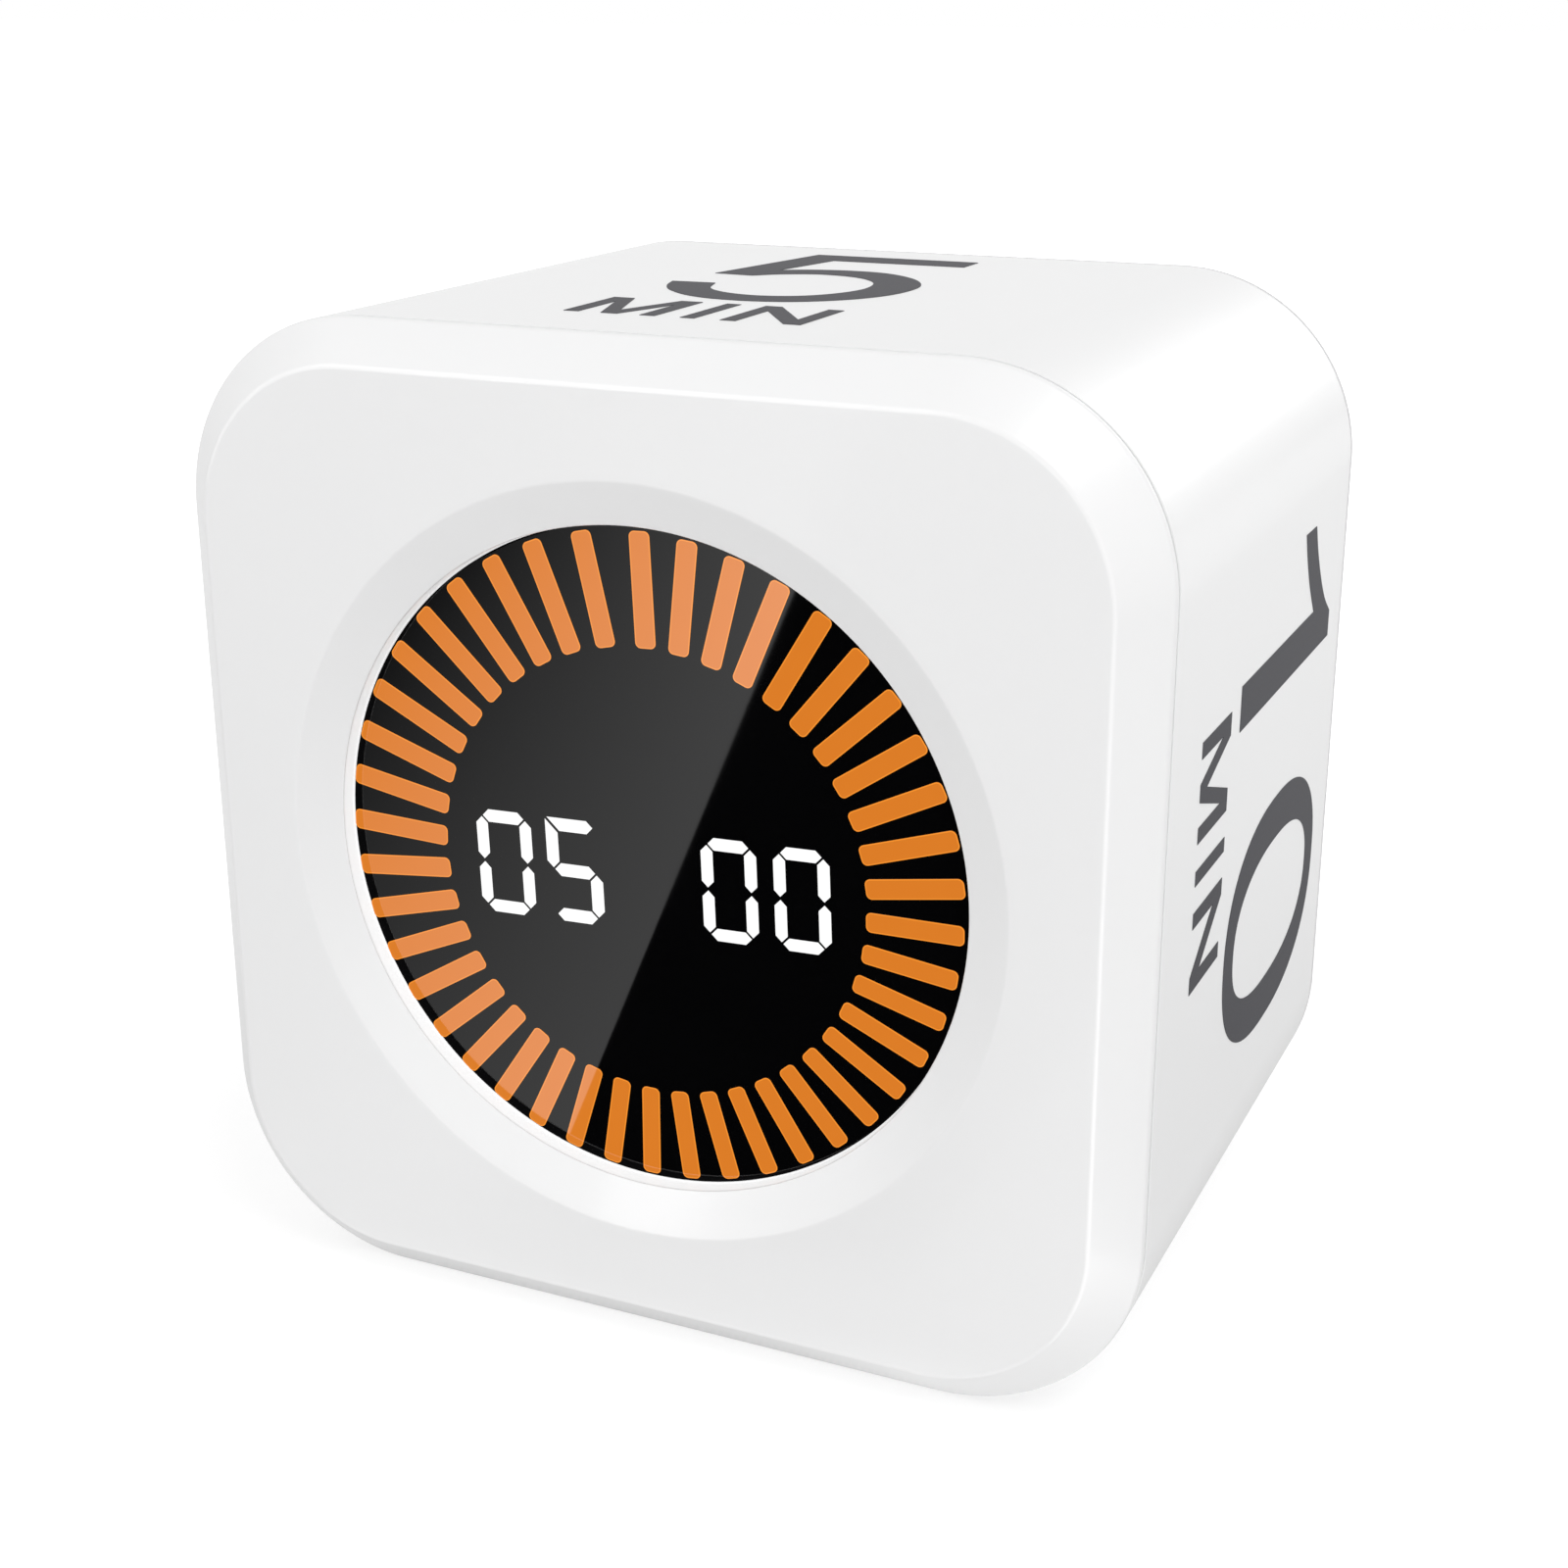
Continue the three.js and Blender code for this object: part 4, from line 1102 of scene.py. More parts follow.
@dataclass(frozen=True)
class Digit:
    """A digit of seven segments with pointed ends.

    Attributes:
        figure: The figure that it shows, "0" or "5".
        place: How far right of the window's middle it stands.
        stroke: Width of its segments.
        gap: Gap between them.
    """

    figure: str
    place: float
    width: float
    height: float
    stroke: float
    gap: float = 0.2

    def bar(self, start: Point, end: Point) -> Outline:
        """Draws a segment with pointed ends.

        Args:
            start: The corner of the digit where it starts.
            end: The corner where it ends.

        Returns:
            The outline.
        """
        along = (Vector(end) - Vector(start)).normalized()
        side = Vector((-along.y, along.x)) * self.stroke / 2
        shoulder = along * self.stroke / 2
        near = Vector(start) + along * self.gap / 2
        far = Vector(end) - along * self.gap / 2
        corners = [near, near + shoulder - side, far - shoulder - side, far]
        corners += [far - shoulder + side, near + shoulder + side]
        return [(corner.x, corner.y) for corner in corners]

    def mitred_corner(self, column: float, row: float) -> list[Outline]:
        """Draws the top and upper left segments that meet in a sharp corner, as in a five.

        Args:
            column: Middle of the digit's right-hand segments.
            row: Middle of its top segment.

        Returns:
            Both outlines.
        """
        half, foot, slit = self.stroke / 2, self.gap / 2, self.gap * 0.7
        outer, inner, end = -column - half, -column + half, column - self.gap / 2
        top = [(outer + slit, row + half), (inner + slit, row - half), (end - half, row - half)]
        left = [(outer, row + half - slit), (outer, foot + half), (-column, foot), (inner, foot + half)]
        return [[*top, (end, row), (end - half, row + half)], [*left, (inner, row - half - slit)]]

    def segments(self) -> list[Outline]:
        """Draws the lit segments about the figure's middle."""
        column = (self.width - self.stroke) / 2
        row = (self.height - self.stroke) / 2
        top_left, top_right = (-column, row), (column, row)
        foot_left, foot_right = (-column, -row), (column, -row)
        left, right = (-column, 0), (column, 0)
        foot = (foot_left, foot_right)
        if self.figure == "5":
            bars = [(left, right), (foot_right, right), foot]
            return self.mitred_corner(column, row) + [self.bar(*ends) for ends in bars]
        bars = [(top_left, top_right), (right, top_right), (foot_right, right), foot]
        bars += [(foot_left, left), (left, top_left)]
        return [self.bar(*ends) for ends in bars]


@dataclass
class LitDial:
    """Ring of lit ticks and the four lit digits in the window.

    Attributes:
        proud: How far the lit areas stand out of the glass.
        ticks: How many ticks there are.
        pitch: Degrees from each to the next.
        first: Angle of the first tick.
        last: Angle of the last tick, which stands a little apart from the even pitch.
        lean: Turn of each tick away from its spoke.
        spokes_meet: Point that the spokes run to.
        outer_circle: Middle and radius of the circle that the ticks end on.
        inner_circle: Middle and radius of the circle that they start from.
        tick_width: Width of a tick before growth.
        tick_growth: Share of its length that is added to its width.
        tick_border: Width of the brighter line round each tick.
        tilt: Turn of the digits in degrees.
        middle: Height of the digits' middle.
    """

    proud: float = 0.02
    ticks: int = 43
    pitch: float = 8.307
    first: float = -0.99
    last: float = -11.27
    lean: float = -1.4
    spokes_meet: Point = (0.413, -1.142)
    outer_circle: tuple[Point, float] = ((-0.242, -0.117), 20.84)
    inner_circle: tuple[Point, float] = ((0.122, -0.651), 14.316)
    tick_width: float = 0.57
    tick_growth: float = 0.11
    tick_corner: float = 0.35
    tick_border: float = 0.07
    tilt: float = 2
    middle: float = -1.03
    digits: tuple[Digit, ...] = (
        Digit("0", -10, 3.92, 6.8, 0.815),
        Digit("5", -5.07, 3.84, 6.77, 0.84),
        Digit("0", 5.54, 3.68, 6.61, 0.79),
        Digit("0", 10.31, 3.65, 6.58, 0.78),
    )

    def reach(self, along: Vector, centre: Point, radius: float) -> float:
        """Finds how far out a tick's middle line crosses a circle.

        Args:
            along: Direction of the line.
            centre: Middle of the circle.
            radius: Radius of the circle.

        Returns:
            The distance from where the spokes meet.
        """
        offset = Vector(self.spokes_meet) - Vector(centre)
        inward = offset.dot(along)
        return math.sqrt(inward * inward - offset.length_squared + radius * radius) - inward

    def tick(self, turn: float, inset: float = 0) -> Outline:
        """Draws one tick.

        Args:
            turn: Its angle in degrees, clockwise from twelve o'clock.
            inset: How far the outline lies inside the tick's edge.

        Returns:
            The outline.
        """
        along = Vector((math.sin(math.radians(turn)), math.cos(math.radians(turn))))
        start, end = self.reach(along, *self.inner_circle), self.reach(along, *self.outer_circle)
        width = self.tick_width + self.tick_growth * (end - start)
        bar = Bar(width, end - start, self.tick_corner, arc=6).outline(-inset)
        middle = Vector(self.spokes_meet) + along * (start + end) / 2
        return moved(turned(bar, -turn - self.lean), middle.x, middle.y)

    def build(self) -> None:
        """Builds the ring of ticks and the digits."""
        front, glass = HOUSING.glass - self.proud, HOUSING.glass
        ring, border = Skin(Face.FRONT), Skin(Face.FRONT)
        for turn in [self.first + index * self.pitch for index in range(self.ticks - 1)] + [self.last]:
            inner = self.tick(turn, self.tick_border)
            ring.slab(inner, front, glass)
            border.slab(self.tick(turn), front, glass, [inner])
        lit = [ring.piece("lit_tick_ring", AMBER_LIGHT), border.piece("lit_tick_borders", AMBER_BORDER)]
        for number, digit in enumerate(self.digits, 1):
            segments = Skin(Face.FRONT)
            for outline in digit.segments():
                segments.slab(turned(moved(outline, digit.place, self.middle), self.tilt), front, glass)
            lit.append(segments.piece(f"lit_digit_{number}", WHITE_LIGHT))
        for thing in lit:
            thing.visible_diffuse = False


# ---------------------------------------------------------------------------
# Printed presets
# ---------------------------------------------------------------------------


@dataclass(frozen=True)
class Glyph:
    """A printed character: its outline and the holes in it."""

    outline: Outline
    holes: tuple[Outline, ...] = ()

    def shifted(self, x: float, y: float = 0, scale: float = 1) -> "Glyph":
        """Scales and moves the character with its holes."""
        return Glyph(moved(self.outline, x, y, scale), tuple(moved(hole, x, y, scale) for hole in self.holes))


class Figures:
    """The big figures of the presets, about their own middle, on a line 18.1 mm from the front."""

    @staticmethod
    def nought() -> Glyph:
        """Draws the nought."""
        return Glyph(oval(15.9, 24.4, 0, 30.3), (oval(9.8, 19.9, 0, 30.35),))

    @staticmethod
    def one() -> Glyph:
        """Draws the one, with its curved flag on the left."""
        flag = smooth([(-4.45, 36.6), (-2.55, 37.55), (-0.35, 39.1), (1.35, 40.7), (2.65, 42.55)])
        under = smooth([(1.55, 37.45), (-0.65, 35.7), (-2.75, 34.45), (-4.45, 33.7)])
        return Glyph([*flag, (4.45, 42.55), (4.45, 18.45), (1.55, 18.45), *under])

    @staticmethod
    def two() -> Glyph:
        """Draws the two."""
        crown = smooth([(-7.2, 36.3), (-5.9, 39.8), (-3.3, 41.9), (0.1, 42.5), (3.7, 41.7), (6.3, 39.3),
                        (7.1, 36.0), (6.2, 32.6), (3.9, 29.5), (-2.9, 21.1)])
        under = smooth([(-7.9, 20.3), (1.4, 31.0), (3.5, 33.9), (4.0, 36.2), (3.1, 38.5), (0.1, 39.7),
                        (-2.8, 38.6), (-4.2, 35.8)])
        return Glyph([*crown, (7.6, 21.1), (7.6, 18.3), (-7.9, 18.3), *under])

    @staticmethod
    def five() -> Glyph:
        """Draws the five."""
        bowl = smooth([(-4.0, 32.9), (-1.8, 33.95), (0.9, 34.4), (3.6, 33.9), (6.1, 32.0), (7.7, 29.4),
                       (8.15, 26.7), (7.6, 23.4), (5.9, 20.6), (3.1, 18.5), (-0.4, 17.85), (-3.6, 18.6),
                       (-6.1, 20.6), (-7.4, 22.6), (-8.1, 24.8)])
        under = smooth([(-5.05, 25.0), (-4.1, 22.4), (-2.2, 20.9), (0.2, 20.4), (2.6, 21.2), (4.3, 23.2),
                        (5.1, 26.0), (4.5, 29.0), (2.6, 31.1), (-0.3, 31.85), (-2.8, 31.0), (-4.5, 29.5)])
        stem = [(-7.35, 29.7), (-5.15, 42.1), (7.0, 42.1), (7.0, 39.25), (-2.75, 39.25)]
        return Glyph([*bowl, *under, *stem])


class Letters:
    """Plain capitals drawn from the left end of their foot, at their printed size on the sides."""

    height = 6.5
    pen = 1.02

    @classmethod
    def capital(cls, letter: str) -> tuple[Glyph, float]:
        """Draws a capital.

        Args:
            letter: One of C, E, F, I, M, N, O and S.

        Returns:
            The letter and its width.
        """
        high, pen = cls.height, cls.pen
        if letter == "I":
            return Glyph([(0, 0), (0.95, 0), (0.95, high), (0, high)]), 0.95
        if letter == "M":
            wide, middle = 6.2, 3.1
            left = [(0, 0), (0, high), (1.45, high), (middle, 1.5)]
            right = [(wide - 1.45, high), (wide, high), (wide, 0), (wide - pen, 0), (wide - pen, 4.75)]
            foot = [(middle + 0.55, 0), (middle - 0.55, 0), (pen, 4.75), (pen, 0)]
            return Glyph(left + right + foot), wide
        if letter == "N":
            wide = 5.2
            outline = [(0, 0), (0, high), (1.1, high), (wide - pen, 1.95), (wide - pen, high), (wide, high)]
            return Glyph([*outline, (wide, 0), (wide - 1.1, 0), (pen, 4.55), (pen, 0)]), wide
        if letter in "EF":
            wide, bar = 4.2, (high - pen) / 2
            arm = [(0, 0), (0, high), (wide, high), (wide, high - pen), (pen, high - pen)]
            arm += [(pen, bar + pen), (wide - 0.5, bar + pen), (wide - 0.5, bar), (pen, bar)]
            foot = [(pen, pen), (wide, pen), (wide, 0)] if letter == "E" else [(pen, 0)]
            return Glyph(arm + foot), wide
        if letter == "O":
            wide = 6
            outer, inner = (
                oval(wide - 2 * inset, high - 2 * inset, wide / 2, high / 2, 2.2, 48) for inset in (0, pen)
            )
            return Glyph(outer, (inner,)), wide
        if letter == "C":
            line = [(4.9, 5.1), (4.1, 5.8), (2.9, 6), (1.3, 5.3), (0.5, 3.25), (1.3, 1.2), (2.9, 0.5)]
            return Glyph(ribbon(smooth([*line, (4.1, 0.7), (4.9, 1.4)], 4), pen)), 5.2
        line = [(4, 5.1), (3.2, 5.85), (2.2, 6), (0.9, 5.6), (0.6, 4.5), (1.3, 3.65), (3.1, 3), (3.9, 2.1)]
        line += [(3.5, 0.9), (2.2, 0.5), (1.1, 0.65), (0.3, 1.4)]
        return Glyph(ribbon(smooth(line, 4), pen)), 4.4

    @classmethod
    def word(cls, text: str, spacing: float = 1.68) -> list[Glyph]:
        """Sets a word about its middle, with its foot at zero.

        Args:
            text: The word.
            spacing: Gap between letters.

        Returns:
            Its letters in place.
        """
        drawn = [cls.capital(letter) for letter in text]
        pen = -(sum(width for _, width in drawn) + spacing * (len(drawn) - 1)) / 2
        placed = []
        for glyph, width in drawn:
            placed.append(glyph.shifted(pen))
            pen += width + spacing
        return placed


@dataclass
class PresetMarks:
    """Printed minutes on the four side faces, each read with the front towards the reader."""

    foot: float = 9.7

    def build(self) -> None:
        """Prints on each face its figures, with the word below them."""
        five, nought, one, two = Figures.five(), Figures.nought(), Figures.one(), Figures.two()
        presets = (
            (Face.TOP, "print_5_min", [five.shifted(-1)], -0.95),
            (Face.RIGHT, "print_10_min", [one.shifted(-12.35), nought.shifted(7.75)], -2),
            (Face.LEFT, "print_50_min", [five.shifted(-9.4), nought.shifted(8.6)], -1),
            (Face.BOTTOM, "print_25_min", [two.shifted(-9.4), five.shifted(8.4)], -1),
        )
        for face, name, figures, word_x in presets:
            skin = Skin(face)
            for glyph in figures + [letter.shifted(word_x, self.foot) for letter in Letters.word("MIN")]:
                skin.slab(glyph.outline, 0, HOUSING.print_room, glyph.holes)
            skin.piece(name, INK)


@dataclass
class PanelMarks:
    """Small words printed beside the controls on the rear panel.

    Attributes:
        scale: Their size as a share of that of the words on the sides.
        proud: How far the print stands out of the panel.
        spacing: Gap between letters before scaling.
        below: Height of a button's word above the button's middle.
        over_switch: Places of the switch's words about its middle.
    """

    scale: float = 0.27
    proud: float = 0.02
    spacing: float = 2.2
    below: float = -5.6
    over_switch: Point = (2.6, 2.6)

    def build(self) -> None:
        """Prints the words."""
        x, y = self.over_switch
        words = {
            "MIN": (PANEL.button_place, self.below),
            "SEC": (-PANEL.button_place, self.below),
            "OFF": (-x, y),
            "ON": (x, y),
        }
        skin = Skin(Face.REAR)
        for text, (x, y) in words.items():
            for glyph in Letters.word(text, self.spacing):
                mark = glyph.shifted(x, PANEL.upper_row + y, self.scale)
                skin.slab(mark.outline, PANEL.depth - self.proud, PANEL.depth, mark.holes)
        skin.piece("print_panel_words", INK)


# ---------------------------------------------------------------------------
# Controls on the rear panel
# ---------------------------------------------------------------------------


@dataclass
class PushButton:
    """A round button with a crowned, dished cap, a flange behind the panel and a stem.

    Attributes:
        body: The body that it rides on, named as its CAD node.
        x: Its place across the panel, as seen from behind.
        sink: How far its top lies behind the rear face.
        crown: Radius of its edge.
        dish: Share of the cap that is dished, and the dish's depth.
        dish_rings: Places of the dish's rings, as shares of its radius.
    """

    body: Body
    x: float
    radius: float = 3.2
    sink: float = 0.5
    crown: float = 0.35
    dish: Point = (0.8, 0.12)
    dish_rings: tuple[float, ...] = (0.08, 0.3, 0.55, 0.8, 1)
    flange: float = 4.2
    flange_top: float = 3.2
    flange_end: float = 4.2
    stem: float = 1.5
    stem_end: float = 4.8

    def build(self) -> None:
        """Builds the button."""
        wide, deep = self.radius * self.dish[0], self.dish[1]
        top = [(wide * share, self.sink + deep * (1 - share * share)) for share in self.dish_rings]
        edge = [(self.radius - inset, self.sink + fall) for inset, fall in rolled(self.crown)]
        back = [
            (self.radius, self.flange_top),
            (self.flange, self.flange_top),
            (self.flange, self.flange_end),
            (self.stem, self.flange_end),
            (self.stem, self.stem_end),
        ]
        skin = Skin(Face.REAR)
        skin.block(lathed(top + edge + back, self.x, PANEL.upper_row, 72))
        node = self.body.value
        skin.piece(f"{node}_cap", GREY_BUTTON, [node], self.body)


@dataclass
class SwitchKnob:
    """Slider knob with ribs across it and a long flange that covers the slot from inside.

    Attributes:
        cap_edge: Inset and fall of each ring round the knob's edge.
        top: How far the ribs' tops lie behind the rear face.
        groove: How far the knob's top lies below them.
        ribs: Place and width of each rib.
        rib_edge: Inset and fall of each ring round a rib's edge.
        root: How deep the ribs run into the knob.
    """

    cap: Bar = Bar(4.4, 2.6, 0.8, 0, PANEL.upper_row)
    cap_edge: tuple[Point, ...] = ((0.1, 0), (0.03, 0.03), (0, 0.1))
    top: float = 0.5
    groove: float = 0.35
    flange: Bar = Bar(13.4, 5, 0.3, 0, PANEL.upper_row)
    flange_top: float = 3.2
    flange_end: float = 4.1
    ribs: tuple[Point, ...] = ((-1.7, 0.95), (-0.5, 0.56), (0.5, 0.56), (1.7, 0.95))
    rib_length: float = 2.35
    rib_corner: float = 0.26
    rib_edge: tuple[Point, ...] = ((0.2, 0), (0.06, 0.05), (0, 0.2))
    root: float = 0.02

    def build(self) -> None:
        """Builds the knob."""
        base = self.top + self.groove
        skin = Skin(Face.REAR)
        skin.block([
            *((self.cap.outline(-inset), base + fall) for inset, fall in self.cap_edge),
            (self.cap.outline(), self.flange_top),
            (self.flange.outline(), self.flange_top),
            (self.flange.outline(), self.flange_end),
        ])
        for x, width in self.ribs:
            rib = Bar(width, self.rib_length, self.rib_corner, x, PANEL.upper_row, 5, 0.5)
            edge = [(rib.outline(-inset), self.top + fall) for inset, fall in self.rib_edge]
            skin.block([*edge, (rib.outline(), base + self.root)])
        skin.piece("slide_switch_knob", GREY_BUTTON, ["switch_knob"], Body.SWITCH_KNOB)


@dataclass
class UsbSocket:
    """USB-C inlet: folded steel shell, contact tongue and its contacts.

    Attributes:
        lip: Inset and fall of each ring round the shell's lip.
        tongue_edge: Bevel round the tongue's front.
        contact: Width, thickness and corner of a contact.
        inlay: How far its middle lies outside the tongue.
    """

    shell: Bar = Bar(8.94, 3.26, 1.5, 0, PANEL.lower_row, 16)
    wall: float = 0.3
    lip: tuple[Point, ...] = ((0.1, 0), (0.04, 0.02), (0, 0.08))
    mouth: float = 1
    floor: float = 6.8
    end: float = 7.8
    tongue: Bar = Bar(6.7, 0.7, 0.25, 0, PANEL.lower_row, 5, 0.5)
    tongue_front: float = 2
    tongue_edge: float = 0.15
    contacts: int = 12
    pitch: float = 0.5
    contact: Place = (0.26, 0.06, 0.02)
    contact_front: float = 2.5
    inlay: float = 0.01

    def build(self) -> None:
        """Builds the shell, the tongue and the contacts."""
        inner = [(self.wall - inset, self.mouth + fall) for inset, fall in self.lip[::-1]]
        outer = [(inset, self.mouth + fall) for inset, fall in self.lip]
        shell, tongue, gold = Skin(Face.REAR), Skin(Face.REAR), Skin(Face.REAR)
        sides = [(self.wall, self.floor), *inner, *outer, (0, self.end)]
        shell.block((self.shell.outline(-inset), depth) for inset, depth in sides)
        shell.piece("usb_shell", STEEL, ["usb_socket"])
        front, edge = self.tongue_front, self.tongue_edge
        sides = [(edge, front), (0, front + edge), (0, self.floor)]
        tongue.block((self.tongue.outline(-inset), depth) for inset, depth in sides)
        tongue.piece("usb_tongue", DARK)
        for side in (-1, 1):
            y = PANEL.lower_row + side * (self.tongue.height / 2 + self.inlay)
            for index in range(self.contacts):
                x = (index - (self.contacts - 1) / 2) * self.pitch
                gold.slab(Bar(*self.contact, x, y, 2).outline(), self.contact_front, self.floor)
        gold.piece("usb_contacts", GOLD)


@dataclass
class CoverScrews:
    """Four cross-slot screws at the bottom of the wells in the rear cover.

    Attributes:
        head: Radius of the head.
        crown: Radius of its edge.
        head_top: Depth of its top.
        head_seat: Depth of its seat.
        shank: Radius of the shank.
        tip: Depth of the tip, and its radius.
        slot: Half length and width of the cross recess.
        slot_depth: Its depth.
        draft: How much narrower it is at its floor.
    """

    head: float = 1.9
    crown: float = 0.55
    head_top: float = 3.69
    head_seat: float = 4.89
    shank: float = 0.85
    tip: Point = (14.9, 0.05)
    slot: Point = (1.25, 0.42)
    slot_depth: float = 0.6
    draft: float = 0.15

    def cross(self, x: float, y: float, inset: float) -> Outline:
        """Draws the cross recess.

        Args:
            x: Place of its middle to the right.
            y: Place of its middle upwards.
            inset: How far the outline lies inside its ends.

        Returns:
            The outline.
        """
        arm, wide = self.slot[0] - inset, self.slot[1] / 2 - inset / 2
        quarter = [(arm, -wide), (arm, wide), (wide, wide)]
        points = []
        for _ in range(4):
            points += moved(quarter, x, y)
            quarter = [(-py, px) for px, py in quarter]
        return points

    def build(self) -> None:
        """Builds the four screws."""
        end, point = self.tip
        profile = [(self.head - inset, self.head_top + fall) for inset, fall in rolled(self.crown)]
        profile += [(self.head, self.head_seat), (self.shank, self.head_seat)]
        profile += [(self.shank, end - self.shank), (point, end)]
        for number, (x, y) in enumerate(HOUSING.screw_places(), 1):
            skin = Skin(Face.REAR)
            top, tip = skin.chain(lathed(profile, x, y, 48))
            recess = ((0, self.head_top), (self.draft, self.head_top + self.slot_depth))
            mouth, floor = skin.chain((self.cross(x, y, inset), depth) for inset, depth in recess)
            skin.fill(top, [mouth])
            skin.fill(floor)
            skin.fill(tip)
            skin.piece(f"cover_screw_fine_{number}", STEEL, [self.node_at(x, y)])

    @staticmethod
    def node_at(x: float, y: float) -> str:
        """Names the CAD screw that stands at a place on the rear face.

        Args:
            x: The place to the right.
            y: The place upwards.

        Returns:
            The node's name.
        """
        place = Face.REAR.value.at(x, y, 0)
        for number in range(1, 5):
            low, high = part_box(f"cover_screw_{number}")
            if all(abs((low[axis] + high[axis]) / 2 - place[axis]) < MILLIMETRE for axis in (0, 2)):
                return f"cover_screw_{number}"
        raise ValueError(f"no screw at {x}, {y}")


# ---------------------------------------------------------------------------
# Inner pieces that the CAD model already shows
# ---------------------------------------------------------------------------


@dataclass
class InnerPieces:
    """Pieces inside the housing, which keep their CAD shape and get their finish here.

    Attributes:
        finishes: Each finish with the CAD nodes that it is for.
        screws: Kinds of screws, of which there are four each.
    """

    finishes: tuple[tuple[Finish, tuple[str, ...]], ...] = (
        (BLACK, ("lens_tape_ring", "battery_lead_black")),
        (FILM, ("segment_film",)),
        (BOARD, ("display_board", "main_board")),
        (DARK, ("light_frame", "chassis", "display_ribbon_socket", "main_ribbon_socket")),
        (DARK, ("processor_chip", "gravity_sensor", "buzzer", "switch_actuator")),
        (DARK, ("minute_switch_plunger", "second_switch_plunger")),
        (PAD, ("battery_foam_pad",)),
        (POUCH, ("battery_cell",)),
        (RED, ("battery_lead_red",)),
        (LEAD_HOUSING, ("battery_lead_socket",)),
        (RIBBON, ("display_ribbon",)),
        (TUNGSTEN, ("motor_weight",)),
        (STEEL, ("vibration_motor", "minute_switch_case", "second_switch_case", "slide_switch_case")),
    )
    screws: tuple[str, ...] = ("display_screw", "chassis_screw", "board_screw")

    def dress(self) -> None:
        """Gives each inner CAD piece its finish."""
        screws = tuple(f"{kind}_{number}" for kind in self.screws for number in range(1, 5))
        for finish, names in (*self.finishes, (STEEL, screws)):
            for name in names:
                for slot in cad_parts[name].material_slots:
                    slot.material = finish.material()
                log.info("%s: CAD shape in %s", name, finish.name)


# ---------------------------------------------------------------------------
# Studio
# ---------------------------------------------------------------------------


@dataclass(frozen=True)
class Lamp:
    """A soft square lamp that is turned to the timer's middle.

    Attributes:
        name: Its name.
        place: Where it stands, in millimetres.
        size: Its side in millimetres.
        power: Its power in watts.
        mirrored: Whether glossy surfaces show it.
    """

    name: str
    place: Place
    size: float
    power: float
    mirrored: bool = True

    def build(self) -> None:
        """Hangs the lamp and turns it to the timer."""
        data = bpy.data.lights.new(self.name, "AREA")
        data.shape = "SQUARE"
        data.size = self.size * MILLIMETRE
        data.energy = self.power
        thing = bpy.data.objects.new(self.name, data)
        place = Vector(self.place) * MILLIMETRE
        aim = Vector((0, 0, HOUSING.height / 2)) * MILLIMETRE - place
        thing.matrix_world = Matrix.Translation(place) @ aim.to_track_quat("-Z", "Y").to_matrix().to_4x4()
        thing.visible_glossy = self.mirrored
        bpy.context.scene.collection.objects.link(thing)


@dataclass(frozen=True)
class Strip:
    """A bright sheet that only glossy surfaces see.

    Attributes:
        place: Where it hangs or what it lights, for its name.
        corners: Its corners in millimetres.
        left: Strength of its light at its left end.
        right: Strength at its right end, where it differs.
    """

    place: str
    corners: tuple[Place, ...]
    left: float
    right: float | None = None

    def strength(self, nodes: Nodes) -> Value | float:
        """Gives the strength, which passes smoothly from the left to the right."""
        if self.right is None:
            return self.left
        across = [corner[0] for corner in self.corners]
        middle, half = (max(across) + min(across)) / 2, (max(across) - min(across)) / 2
        return self.left + (self.right - self.left) * nodes.step(nodes.along("X"), middle, half)


